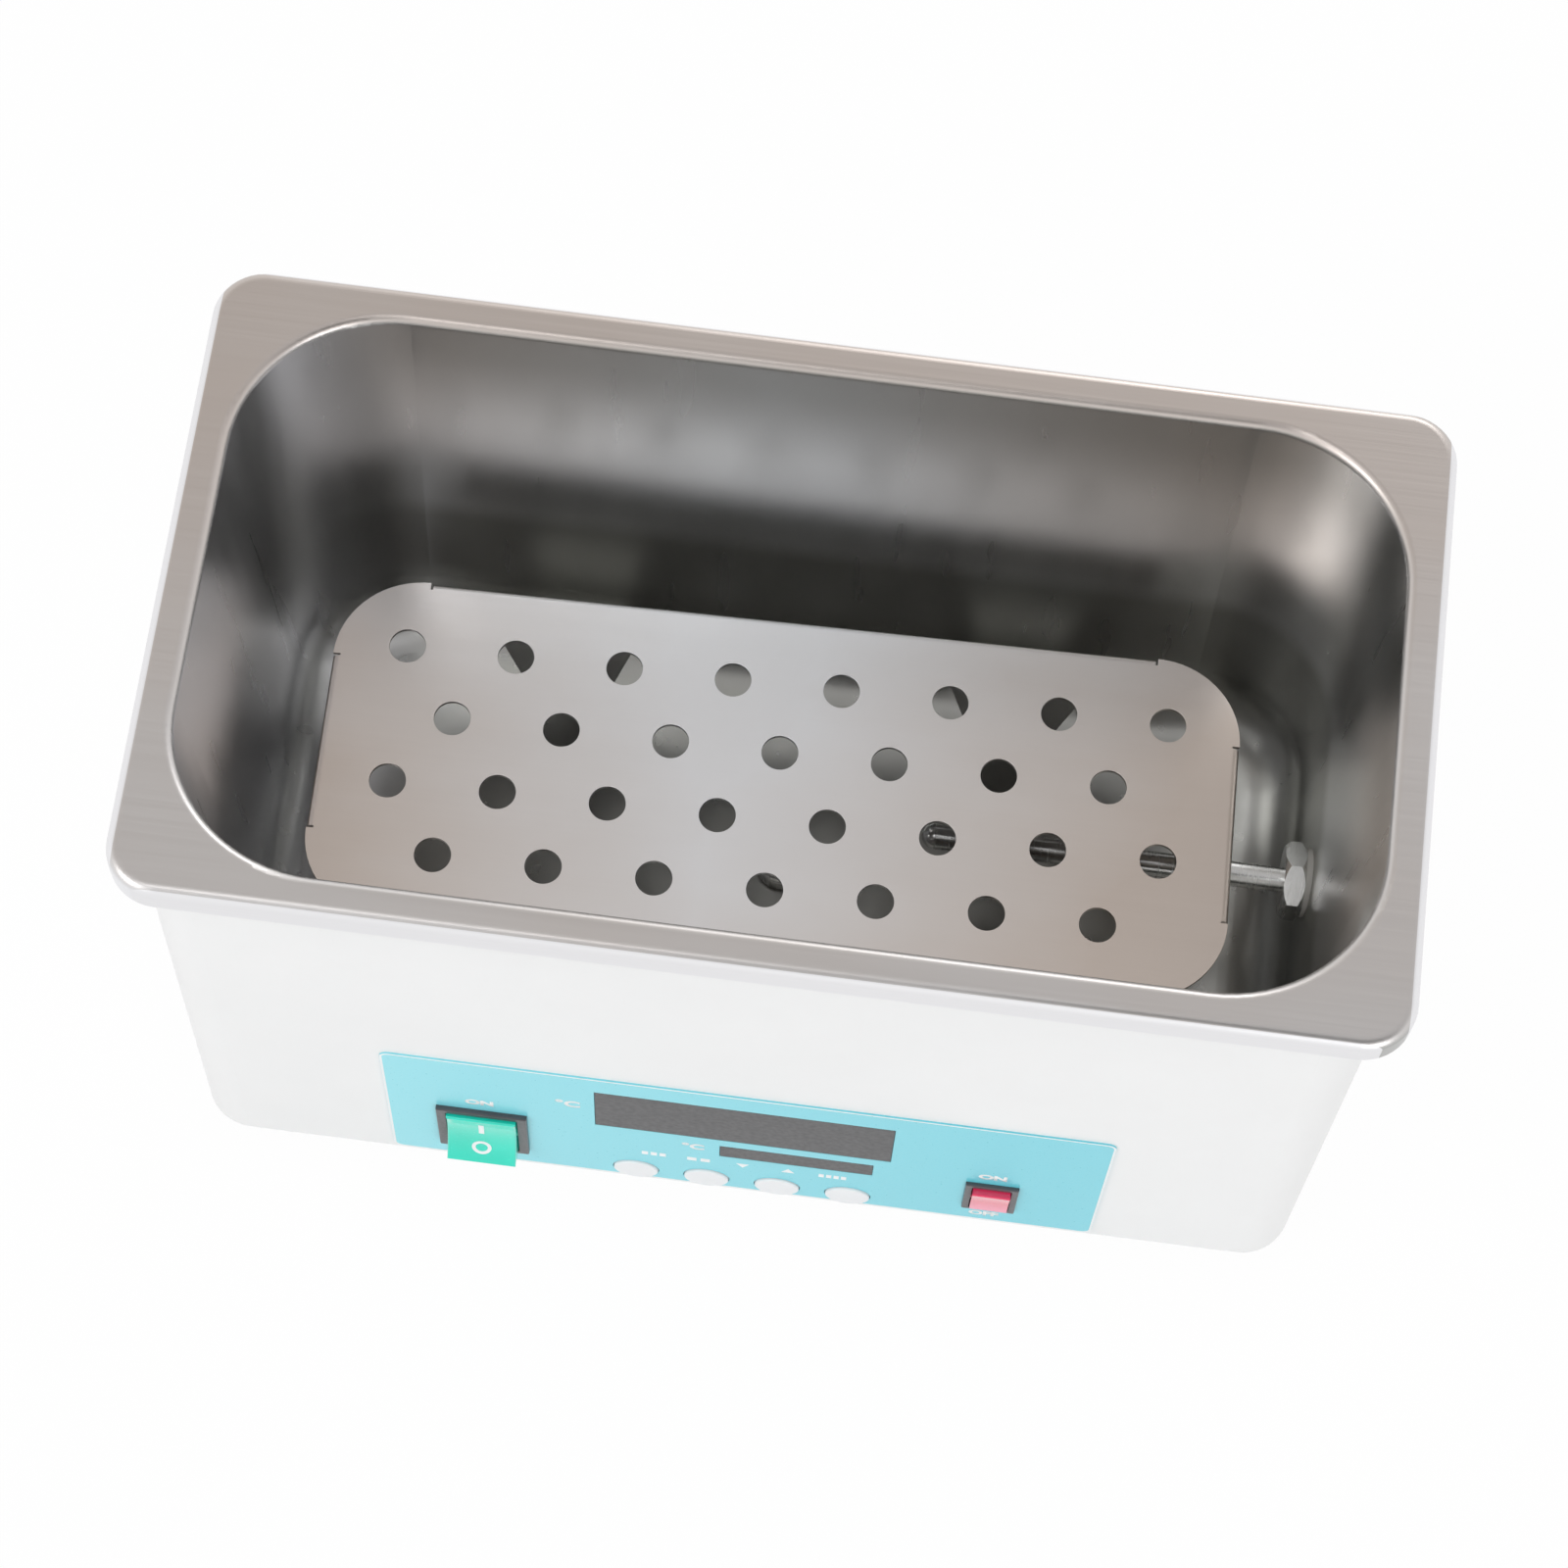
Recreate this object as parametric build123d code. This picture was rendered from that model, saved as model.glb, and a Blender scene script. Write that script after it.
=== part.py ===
from build123d import *
import os
from math import cos, radians, sin, tan

os.makedirs("parts", exist_ok=True)

# A bench-top laboratory water bath: a drawn steel tank hung in a painted casing,
# with the controls low on its front, a perforated shelf inside and a heater under the floor.
# X runs along its length, the controls face -Y, and Z is zero under the feet.

# Rim and tank
rim_length = 325.0
rim_depth = 176.0
rim_corner_radius = 13.5
rim_edge_radius = 3.0
skirt_height = 9.0
tank_sheet = 1.0
end_deck_width = 10.5
side_deck_width = 10.0
mouth_corner_radius = 41.0
lip_radius = 2.5
tank_inner_depth = 150.0
wall_draft = 3.6
floor_edge_radius = 18.0

# Casing
foot_height = 12.0
body_height = 198.0
rim_overhang = 6.0
casing_sheet = 1.2
casing_corner_radius = 14.0
casing_fold_radius = 1.6
casing_flange_width = 14.0
seal_web = 1.5
seal_lip = 1.0
seal_drop = 6.0

# Fits that the whole part shares
fit = 0.3
slide_fit = 0.1
pin_fit = 0.05
overrun = 5.0
same_height = 0.1

# Heights and faces that follow from the sizes above
rim_top = foot_height + body_height
mouth_length = rim_length - 2 * end_deck_width
mouth_depth = rim_depth - 2 * side_deck_width
deck_underside = rim_top - tank_sheet
floor_top = rim_top - tank_inner_depth
floor_underside = floor_top - tank_sheet
casing_top = deck_underside - seal_web
casing_length = rim_length - 2 * rim_overhang
casing_depth = rim_depth - 2 * rim_overhang
front_face = -casing_depth / 2
rear_face = casing_depth / 2
front_inside = front_face + casing_sheet
rear_inside = rear_face - casing_sheet
side_inside = casing_length / 2 - casing_sheet
draft_slope = tan(radians(wall_draft))

parts = {}


def block(x_span, y_span, z_span):
    """A box given by its low and high value along each axis."""
    size = [high - low for low, high in (x_span, y_span, z_span)]
    middle = [(low + high) / 2 for low, high in (x_span, y_span, z_span)]
    return Pos(*middle) * Box(*size)


def centred(middle, size):
    """The low and high value of a span of this size about its middle."""
    return (middle - size / 2, middle + size / 2)


def slab(length, depth, corner, low, high):
    """A flat piece with rounded corners in plan."""
    return extrude(Plane.XY.offset(low) * RectangleRounded(length, depth, corner), amount=high - low)


def rod_x(radius, low, high, y, z):
    """A round bar along X."""
    return Pos(low, y, z) * Rot(0, 90, 0) * extrude(Circle(radius), amount=high - low)


def rod_y(radius, low, high, x, z):
    """A round bar along Y."""
    return Pos(x, low, z) * Rot(-90, 0, 0) * extrude(Circle(radius), amount=high - low)


def rod_z(radius, low, high, x, y):
    """A round bar along Z."""
    return Pos(x, y, low) * extrude(Circle(radius), amount=high - low)


def hexagon(across_flats, thickness):
    """A six-sided bar standing on the origin, with its corners turned off at both ends."""
    corner_radius = across_flats / 2 / cos(radians(30))
    bar = extrude(RegularPolygon(corner_radius, 6), amount=thickness)
    turned = extrude(Circle(corner_radius), amount=thickness)
    ends = turned.edges().filter_by(GeomType.CIRCLE)
    turned = chamfer(ends, (corner_radius - across_flats / 2))
    return bar & turned


def joined(pieces):
    """Several separate solids as one sub-part."""
    return Compound([solid for piece in pieces for solid in piece.solids()])


def corners(x_reach, y_reach):
    """The four places that mirror one corner about both middle lines."""
    return [(sx * x_reach, sy * y_reach) for sx in (-1, 1) for sy in (-1, 1)]


# Tank: one sheet drawn into a basin, with a flat deck round its mouth and a folded-down skirt

def drawn_form(thickness):
    """The basin's solid form, grown outwards by a sheet thickness; it narrows downwards."""
    mouth = RectangleRounded(mouth_length + 2 * thickness, mouth_depth + 2 * thickness,
                             mouth_corner_radius + thickness)
    bottom = floor_top - thickness
    form = extrude(Plane.XY.offset(rim_top) * mouth, amount=bottom - rim_top, taper=wall_draft)
    return fillet(form.edges().group_by(Axis.Z)[0], floor_edge_radius + thickness)


def wall_reach(half_size, height):
    """How far from the middle the drawn wall's inner face stands at a height."""
    return half_size - (rim_top - height) * draft_slope


def rim_cap(inset, top):
    """The deck and skirt's solid form, drawn in by a sheet thickness for its hollow."""
    low = rim_top - skirt_height
    form = slab(rim_length - 2 * inset, rim_depth - 2 * inset, rim_corner_radius - inset, low, top)
    return fillet(form.edges().group_by(Axis.Z)[-1], rim_edge_radius - inset)


sensor_depth = 114.0
sensor_height = rim_top - sensor_depth
sensor_thread_radius = 6.0
heater_bolt_radius = 3.0

basin_inside = drawn_form(0)
basin_outside = drawn_form(tank_sheet)
tank = rim_cap(0, rim_top) - rim_cap(tank_sheet, deck_underside) + basin_outside - basin_inside
deck = tank.faces().sort_by(Axis.Z)[-1]
tank = fillet(deck.inner_wires()[0].edges(), lip_radius)
inner_bend = [edge for edge in tank.edges()
              if abs(edge.bounding_box().min.Z - deck_underside) < same_height
              and abs(edge.bounding_box().max.Z - deck_underside) < same_height
              and abs(edge.center().X) < side_inside and abs(edge.center().Y) < rear_inside]
tank = fillet(inner_bend, lip_radius - tank_sheet)
wall_at_sensor = wall_reach(mouth_length / 2, sensor_height)
tank -= rod_x(sensor_thread_radius + slide_fit, wall_at_sensor - overrun,
              wall_at_sensor + overrun, 0, sensor_height)
tank -= rod_z(heater_bolt_radius + slide_fit, floor_underside - overrun, floor_top + overrun, 0, 0)
parts["tank"] = tank

# Shelf: a loose perforated plate with folded edges, standing on four tapering legs
shelf_end_gap = 27.0
shelf_side_gap = 28.0
shelf_corner_radius = 24.0
shelf_sheet = 1.2
shelf_top_depth = 93.0
shelf_fold_radius = 2.0
shelf_side_drop = 18.0
shelf_end_drop = 12.0
shelf_notch = 0.6
shelf_turn = 1.26
shelf_shift = -3.1
shelf_hole_radius = 5.0
shelf_hole_end_margin = 20.0
shelf_hole_side_margin = 19.7
shelf_row_counts = (8, 7, 8, 7)
leg_inset = 61.0
leg_foot_width = 24.7
leg_slope = 13.3
leg_toe_radius = 2.0

shelf_top = rim_top - shelf_top_depth
shelf_length = mouth_length - 2 * shelf_end_gap
shelf_depth = mouth_depth - 2 * shelf_side_gap
shelf_hole_pitch = (shelf_length - 2 * shelf_hole_end_margin) / (max(shelf_row_counts) - 1)
shelf_row_pitch = (shelf_depth - 2 * shelf_hole_side_margin) / (len(shelf_row_counts) - 1)
leg_spread = shelf_length / 2 - leg_inset
long_fold = shelf_length - 2 * shelf_corner_radius
short_fold = shelf_depth - 2 * shelf_corner_radius


def folded_edge(length, drop):
    """A turned-down edge along X: its bend ends at Y zero, and its top is at the shelf's top."""
    bend = Pos(-shelf_fold_radius, -shelf_fold_radius) * (
        Circle(shelf_fold_radius) - Circle(shelf_fold_radius - shelf_sheet))
    quarter = Pos(-shelf_fold_radius / 2, -shelf_fold_radius / 2) * Rectangle(
        shelf_fold_radius, shelf_fold_radius)
    strip_height = drop - shelf_fold_radius
    strip = Pos(-shelf_sheet / 2, -shelf_fold_radius - strip_height / 2) * Rectangle(
        shelf_sheet, strip_height)
    section = (bend & quarter) + strip
    return Pos(0, 0, shelf_top) * extrude(Plane.YZ * section, amount=length / 2, both=True)


def shelf_leg(x):
    """A tapering leg that hangs from a long folded edge, its outer face at Y zero."""
    top = shelf_top - shelf_fold_radius
    widening = (top - floor_top) * tan(radians(leg_slope))
    foot = leg_foot_width / 2
    outline = Polygon((x - foot, floor_top), (x + foot, floor_top),
                      (x + foot + widening, top), (x - foot - widening, top), align=None)
    toes = outline.vertices().group_by(Axis.Y)[0]
    outline = fillet(toes, leg_toe_radius)
    return extrude(Plane.XZ * outline, amount=shelf_sheet)


def perforated_plate():
    """The shelf's plate, cut back where its edges are folded, with its staggered holes."""
    plan = RectangleRounded(shelf_length, shelf_depth, shelf_corner_radius)
    for side in (-1, 1):
        plan -= Pos(0, side * (shelf_depth - shelf_fold_radius) / 2) * Rectangle(
            long_fold, shelf_fold_radius)
        plan -= Pos(side * (shelf_length - shelf_fold_radius) / 2, 0) * Rectangle(
            shelf_fold_radius, short_fold)
    for row, count in enumerate(shelf_row_counts):
        y = ((len(shelf_row_counts) - 1) / 2 - row) * shelf_row_pitch
        for column in range(count):
            x = (column - (count - 1) / 2) * shelf_hole_pitch
            plan -= Pos(x, y) * Circle(shelf_hole_radius)
    return extrude(Plane.XY.offset(shelf_top - shelf_sheet) * plan, amount=shelf_sheet)


shelf = perforated_plate()
for turn in (0, 180):
    long_edge = folded_edge(long_fold - 2 * shelf_notch, shelf_side_drop)
    for side in (-1, 1):
        long_edge += shelf_leg(side * leg_spread)
    shelf += Rot(0, 0, turn) * Pos(0, shelf_depth / 2, 0) * long_edge
    short_edge = folded_edge(short_fold - 2 * shelf_notch, shelf_end_drop)
    shelf += Rot(0, 0, turn + 90) * Pos(0, shelf_length / 2, 0) * short_edge
parts["shelf"] = Pos(shelf_shift, 0, 0) * Rot(0, 0, shelf_turn) * shelf

# Temperature probe: a closed tube held in the end wall by a hexagon fitting, a seal and a locknut
probe_radius = 3.5
probe_insertion = 106.8
probe_end_gap = 0.6
fitting_across_flats = 19.0
fitting_thickness = 5.8
fitting_seal = 1.2
fitting_shank = 6.4
locknut_thickness = 3.6
probe_bore = probe_radius + pin_fit

probe_reach = wall_at_sensor - probe_insertion
fitting_face = wall_at_sensor - fitting_seal
shank_end = wall_at_sensor + tank_sheet + fitting_shank - fitting_seal
probe_end = shank_end + probe_end_gap
tube = rod_x(probe_radius, probe_reach, probe_end, 0, sensor_height)
tube = fillet(tube.edges().filter_by(GeomType.CIRCLE).sort_by(Axis.X)[0], probe_radius - pin_fit)
parts["sensor_tube"] = tube
fitting = Pos(fitting_face - fitting_thickness, 0, sensor_height) * Rot(0, 90, 0) * hexagon(
    fitting_across_flats, fitting_thickness)
fitting += rod_x(sensor_thread_radius, fitting_face, shank_end, 0, sensor_height)
fitting -= rod_x(probe_bore, probe_reach, probe_end, 0, sensor_height)
parts["sensor_fitting"] = fitting
seal_ring = rod_x(fitting_across_flats / 2, fitting_face, wall_at_sensor + overrun, 0, sensor_height)
seal_ring -= rod_x(sensor_thread_radius + slide_fit, probe_reach, probe_end, 0, sensor_height)
parts["sensor_seal"] = seal_ring & basin_inside
locknut_end = wall_at_sensor + tank_sheet + locknut_thickness
locknut = Pos(wall_at_sensor, 0, sensor_height) * Rot(0, 90, 0) * hexagon(
    fitting_across_flats, locknut_end - wall_at_sensor)
locknut -= rod_x(sensor_thread_radius + pin_fit, wall_at_sensor, probe_end, 0, sensor_height)
parts["sensor_locknut"] = locknut - basin_outside

# Heater under the tank floor: silicone pad, pressure plate, centre bolt, cut-out and blanket
pad_end_gap = 45.0
pad_side_gap = 34.0
pad_thickness = 1.5
plate_margin = 2.0
plate_thickness = 2.0
blanket_thickness = 8.0
blanket_margin = 1.0
pad_corner_radius = 8.0
bolt_head_radius = 7.5
bolt_head_height = 4.0
bolt_seal_thickness = 0.8
bolt_nut_across_flats = 10.0
bolt_nut_height = 5.0
bolt_tail = 1.5
cutout_x = 62.0
cutout_radius = 8.0
cutout_height = 7.0
tab_width = 6.3
tab_thickness = 0.8
tab_reach = 7.0

pad_length = mouth_length - 2 * pad_end_gap
pad_depth = mouth_depth - 2 * pad_side_gap
plate_top = floor_underside - pad_thickness
plate_bottom = plate_top - plate_thickness
blanket_bottom = plate_bottom - blanket_thickness
plate_length = pad_length + 2 * plate_margin
plate_depth = pad_depth + 2 * plate_margin
bolt_hole = rod_z(heater_bolt_radius + slide_fit, blanket_bottom, floor_underside, 0, 0)
nut_clearance = rod_z(bolt_nut_across_flats, blanket_bottom, plate_bottom, 0, 0)
cutout_clearance = rod_z(cutout_radius + fit, blanket_bottom, plate_bottom, cutout_x, 0)
parts["heater_pad"] = slab(pad_length, pad_depth, pad_corner_radius,
                           plate_top, floor_underside) - bolt_hole
parts["heater_plate"] = slab(plate_length, plate_depth, pad_corner_radius + plate_margin,
                             plate_bottom, plate_top) - bolt_hole
parts["floor_insulation"] = slab(plate_length - 2 * blanket_margin, plate_depth - 2 * blanket_margin,
                                 pad_corner_radius + plate_margin, blanket_bottom,
                                 plate_bottom) - nut_clearance - cutout_clearance
head_base = floor_top + bolt_seal_thickness
bolt_head = rod_z(bolt_head_radius, head_base, head_base + bolt_head_height, 0, 0)
bolt_head = fillet(bolt_head.edges().filter_by(GeomType.CIRCLE).sort_by(Axis.Z)[-1],
                   bolt_head_height - bolt_seal_thickness)
bolt_end = plate_bottom - bolt_nut_height - bolt_tail
parts["heater_bolt"] = bolt_head + rod_z(heater_bolt_radius, bolt_end, head_base, 0, 0)
parts["heater_bolt_seal"] = (rod_z(bolt_head_radius, floor_top, head_base, 0, 0)
                             - rod_z(heater_bolt_radius + slide_fit, floor_top, head_base, 0, 0))
bolt_nut = Pos(0, 0, plate_bottom - bolt_nut_height) * hexagon(bolt_nut_across_flats, bolt_nut_height)
parts["heater_bolt_nut"] = bolt_nut - rod_z(heater_bolt_radius + pin_fit, bolt_end, plate_bottom, 0, 0)
cutout = rod_z(cutout_radius, plate_bottom - cutout_height, plate_bottom, cutout_x, 0)
for side in (-1, 1):
    cutout += block(centred(cutout_x, tab_width), centred(side * cutout_radius / 2, tab_thickness),
                    (plate_bottom - cutout_height - tab_reach, plate_bottom - cutout_height))
parts["thermal_cutout"] = cutout

# Controls on the front: sizes and places, from the middle and from the top of the rim
label_width = 200.6
label_height = 79.6
label_top_depth = 114.8
label_thickness = 0.5
label_corner_radius = 3.0
large_display_width = 82.5
large_display_height = 27.6
large_display_x = -0.5
large_display_margin = 10.6
small_display_width = 43.0
small_display_height = 9.0
small_display_x = 14.7
display_gap = 5.1
window_flange = 2.0
window_flange_thickness = 0.8
button_radius = 6.35
button_pitch = 20.2
button_middle_x = -0.2
button_margin = 0.45
button_proud = 0.7
button_edge_radius = 0.5
button_flange = 1.2
button_flange_thickness = 1.0
button_travel = 0.5
button_stem_radius = 2.0
button_count = 4
power_x = -73.7
power_margin = 10.65
power_bezel_width = 25.5
power_bezel_height = 30.5
power_bezel_thickness = 1.5
power_frame_side = 2.7
power_frame_end = 2.15
power_proud = 1.5
power_lean = 10.0
power_body_wall = 1.1
power_body_depth = 21.0
aux_x = 70.0
aux_margin = 11.9
aux_bezel_width = 15.0
aux_bezel_height = 21.0
aux_bezel_thickness = 1.2
aux_frame_side = 1.9
aux_frame_end = 1.6
aux_proud = 0.8
aux_lean = 4.0
aux_body_wall = 0.9
aux_body_depth = 17.0
rocker_bezel_radius = 0.5
rocker_cavity_depth = 6.0
rocker_pin_radius = 1.0
rocker_gap = 0.7
rocker_back = 2.0
rocker_edge_radius = 0.6
tab_row_pitch = 8.0
tab_column_share = 0.25

label_face = front_face - label_thickness
label_top = rim_top - label_top_depth
label_bottom = label_top - label_height
label_middle = (label_top + label_bottom) / 2
large_display_z = label_top - large_display_margin - large_display_height / 2
small_display_z = large_display_z - large_display_height / 2 - display_gap - small_display_height / 2
button_height = label_bottom + button_margin + button_radius
power_z = label_bottom + power_margin + power_bezel_height / 2
aux_z = label_bottom + aux_margin + aux_bezel_height / 2
button_places = [button_middle_x + (i - (button_count - 1) / 2) * button_pitch
                 for i in range(button_count)]


class Rocker:
    """The sizes of one rocker switch, and its solids."""

    def __init__(self, x, z, bezel_width, bezel_height, bezel_thickness, bezel_frame,
                 cap_proud, lean, body_wall, body_depth, tab_rows, pressed):
        self.x = x
        self.z = z
        self.bezel_width = bezel_width
        self.bezel_height = bezel_height
        self.opening_width = bezel_width - 2 * bezel_frame[0]
        self.opening_height = bezel_height - 2 * bezel_frame[1]
        self.body_width = self.opening_width + 2 * body_wall
        self.body_height = self.opening_height + 2 * body_wall
        self.bezel_front = label_face - bezel_thickness
        self.pivot_y = label_face
        self.middle_reach = bezel_thickness + cap_proud
        self.lean = lean
        self.pressed = pressed
        self.body_back = label_face + body_depth
        self.tab_rows = tab_rows
        self.pin_length = body_wall

    def body(self):
        """Moulded switch body with its bezel, the rocker's opening and two pin sockets."""
        bezel = block(centred(self.x, self.bezel_width), (self.bezel_front, label_face),
                      centred(self.z, self.bezel_height))
        bezel = fillet(bezel.edges().group_by(Axis.Y)[0], rocker_bezel_radius)
        core = block(centred(self.x, self.body_width), (label_face, self.body_back),
                     centred(self.z, self.body_height))
        hollow = block(centred(self.x, self.opening_width),
                       (self.bezel_front, self.pivot_y + rocker_cavity_depth),
                       centred(self.z, self.opening_height))
        sockets = rod_x(rocker_pin_radius + pin_fit, self.x - self.opening_width / 2 - self.pin_length,
                        self.x + self.opening_width / 2 + self.pin_length, self.pivot_y, self.z)
        return bezel + core - hollow - sockets

    def cap(self):
        """Rocker with a dished face and two pins, leaning towards its pressed end."""
        half = self.opening_height / 2 - rocker_gap
        middle = self.middle_reach
        end = middle + half * tan(radians(self.lean))
        back = -rocker_back
        face = ThreePointArc((end, half), (middle, 0), (end, -half))
        rest = Polyline((end, -half), (back, -half + slide_fit), (back, half - slide_fit), (end, half))
        width = self.opening_width - 2 * fit
        solid = extrude(Plane.YZ * make_face(face + rest), amount=width / 2, both=True)
        rims = solid.edges().filter_by(lambda e: e.center().Y > middle
                                       and abs(e.center().Z) < self.opening_height)
        solid = fillet(rims, rocker_edge_radius)
        reach = self.opening_width / 2 + self.pin_length - slide_fit
        solid += rod_x(rocker_pin_radius, -reach, reach, 0, 0)
        solid = Rot(0, 0, 180) * solid
        return Pos(self.x, self.pivot_y, self.z) * Rot(-self.pressed * self.lean, 0, 0) * solid

    def tabs(self):
        """Solder tabs that stand out of the body's back."""
        pieces = []
        for column in (-1, 1):
            for row in range(self.tab_rows):
                z = self.z + (row - (self.tab_rows - 1) / 2) * tab_row_pitch
                pieces.append(block(centred(self.x + column * tab_column_share * self.body_width,
                                            tab_thickness),
                                    (self.body_back, self.body_back + tab_reach),
                                    centred(z, tab_width)))
        return joined(pieces)


power_switch = Rocker(power_x, power_z, power_bezel_width, power_bezel_height,
                      power_bezel_thickness, (power_frame_side, power_frame_end), power_proud,
                      power_lean, power_body_wall, power_body_depth, tab_rows=3, pressed=1)
aux_switch = Rocker(aux_x, aux_z, aux_bezel_width, aux_bezel_height,
                    aux_bezel_thickness, (aux_frame_side, aux_frame_end), aux_proud,
                    aux_lean, aux_body_wall, aux_body_depth, tab_rows=2, pressed=-1)
switches = {"power": power_switch, "aux": aux_switch}
for name, switch in switches.items():
    parts[name + "_switch_body"] = switch.body()
    parts[name + "_rocker"] = switch.cap()
    parts[name + "_switch_tabs"] = switch.tabs()


def display_opening(y_span, margin):
    """The two display windows' outlines as solids, grown by a margin."""
    solids = []
    for x, z, width, height in (
            (large_display_x, large_display_z, large_display_width, large_display_height),
            (small_display_x, small_display_z, small_display_width, small_display_height)):
        solids.append(block(centred(x, width + 2 * margin), y_span,
                            centred(z, height + 2 * margin)))
    return solids


def control_holes(y_span):
    """What the label and the casing's front are both cut out by."""
    cuts = display_opening(y_span, slide_fit)
    cuts += [rod_y(button_radius + fit, y_span[0], y_span[1], x, button_height) for x in button_places]
    for switch in switches.values():
        cuts.append(block(centred(switch.x, switch.body_width + 2 * slide_fit), y_span,
                          centred(switch.z, switch.body_height + 2 * slide_fit)))
    return cuts


label = Pos(0, front_face, label_middle) * extrude(
    Plane.XZ * RectangleRounded(label_width, label_height, label_corner_radius),
    amount=label_thickness)
for cut in control_holes((label_face - overrun, front_face + overrun)):
    label -= cut
parts["front_label"] = label

# Display windows: dark panes that fill their openings, each with a flange glued behind the casing
window_names = ("large_window", "small_window")
panes = display_opening((label_face, front_inside), 0)
flanges = display_opening((front_inside, front_inside + window_flange_thickness), window_flange)
for name, pane, flange in zip(window_names, panes, flanges):
    parts[name] = pane + flange

# Display board behind the front, with its display modules and key switches
board_thickness = 1.6
display_board_gap = 5.6
display_board_width = 112.0
display_board_top_depth = 120.0
display_board_bottom_depth = 194.5
module_inset = 1.0
pillar_radius = 2.5
pillar_inset = 4.0
screw_radius = 1.5
screw_head_radius = 2.8
screw_head_height = 1.8
screw_bite = 4.0
key_size = 6.0
key_height = 3.2
key_plunger_radius = 1.7

board_front = front_inside + display_board_gap
board_back = board_front + board_thickness
board_span_z = (rim_top - display_board_bottom_depth, rim_top - display_board_top_depth)
board_middle_z = sum(board_span_z) / 2
board_pillars = [(sx * (display_board_width / 2 - pillar_inset), board_middle_z
                  + sz * ((board_span_z[1] - board_span_z[0]) / 2 - pillar_inset))
                 for sx in (-1, 1) for sz in (-1, 1)]
display_board = block(centred(0, display_board_width), (board_front, board_back), board_span_z)
for x, z in board_pillars:
    display_board -= rod_y(screw_radius + slide_fit, board_front, board_back, x, z)
parts["display_board"] = display_board
module_front = front_inside + window_flange_thickness
modules = display_opening((module_front, board_front), -module_inset)
parts["large_display_module"], parts["small_display_module"] = modules
parts["display_pillars"] = joined([
    rod_y(pillar_radius, front_inside, board_front, x, z)
    - rod_y(screw_radius + pin_fit, board_front - screw_bite, board_front, x, z)
    for x, z in board_pillars])
parts["display_board_screws"] = joined([
    rod_y(screw_head_radius, board_back, board_back + screw_head_height, x, z)
    + rod_y(screw_radius, board_front - screw_bite, board_back, x, z) for x, z in board_pillars])
plunger_end = board_front - key_height - button_travel
parts["key_switches"] = joined([
    block(centred(x, key_size), (board_front - key_height, board_front), centred(button_height, key_size))
    for x in button_places])

# Push buttons: round caps in the label, each with a flange behind the casing and a stem to its key
for number, x in enumerate(button_places, start=1):
    cap_front = label_face - button_proud
    flange_back = front_inside + button_flange_thickness
    button = rod_y(button_radius, cap_front, front_inside, x, button_height)
    button = fillet(button.edges().filter_by(GeomType.CIRCLE).sort_by(Axis.Y)[0], button_edge_radius)
    button += rod_y(button_radius + button_flange, front_inside, flange_back, x, button_height)
    button += rod_y(button_stem_radius, flange_back, plunger_end, x, button_height)
    parts["button_%d" % number] = button

# Mains inlet at the back: a flanged moulding with its socket, three blades and a fuse drawer
inlet_inset = 61.5
inlet_z = 36.0
inlet_flange_width = 50.0
inlet_flange_height = 34.0
inlet_flange_thickness = 3.0
inlet_corner_radius = 4.0
inlet_body_width = 28.0
inlet_body_height = 31.0
inlet_body_depth = 26.0
socket_width = 24.0
socket_height = 16.8
socket_depth = 16.0
socket_rise = 6.2
socket_corner_radius = 2.5
blade_width = 4.0
blade_thickness = 2.0
blade_pitch = 7.0
blade_rise = 0.4
blade_step = 4.0
blade_recess = 1.5
drawer_width = 21.0
drawer_height = 6.6
drawer_drop = 10.6
drawer_depth = 18.0
drawer_wall = 0.9
drawer_pull = 1.4
drawer_travel = 16.0
fuse_radius = 2.4
fuse_length = 19.0
inlet_screw_pitch = 40.0
inlet_nut_across_flats = 5.5
inlet_nut_height = 2.4

inlet_x = casing_length / 2 - inlet_inset
inlet_front = rear_face + inlet_flange_thickness
inlet_back = rear_face - inlet_body_depth
socket_z = inlet_z + socket_rise
socket_floor = inlet_front - socket_depth
drawer_z = inlet_z - drawer_drop
drawer_back = inlet_front - drawer_depth
flange_plan = Plane.XZ * RectangleRounded(inlet_flange_width, inlet_flange_height, inlet_corner_radius)
inlet = Pos(inlet_x, inlet_front, inlet_z) * extrude(flange_plan, amount=inlet_flange_thickness)
inlet += block(centred(inlet_x, inlet_body_width), (inlet_back, rear_face),
               centred(inlet_z, inlet_body_height))
socket_plan = Plane.XZ * RectangleRounded(socket_width, socket_height, socket_corner_radius)
inlet -= Pos(inlet_x, inlet_front, socket_z) * extrude(socket_plan, amount=socket_depth)
inlet -= block(centred(inlet_x, drawer_width + 2 * slide_fit), (drawer_back - slide_fit, inlet_front),
               centred(drawer_z, drawer_height + 2 * slide_fit))
blade_z = socket_z + blade_rise
blade_places = [(inlet_x - blade_pitch, blade_z), (inlet_x + blade_pitch, blade_z),
                (inlet_x, blade_z + blade_step)]
blades = []
for x, z in blade_places:
    blade = block(centred(x, blade_thickness), (inlet_back - tab_reach, inlet_front - blade_recess),
                  centred(z, blade_width))
    inlet -= block(centred(x, blade_thickness), (inlet_back, socket_floor), centred(z, blade_width))
    blades.append(blade)
inlet_screw_places = [(inlet_x + side * inlet_screw_pitch / 2, inlet_z) for side in (-1, 1)]
inlet_screws = []
screw_end = rear_inside - inlet_nut_height - bolt_tail
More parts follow.
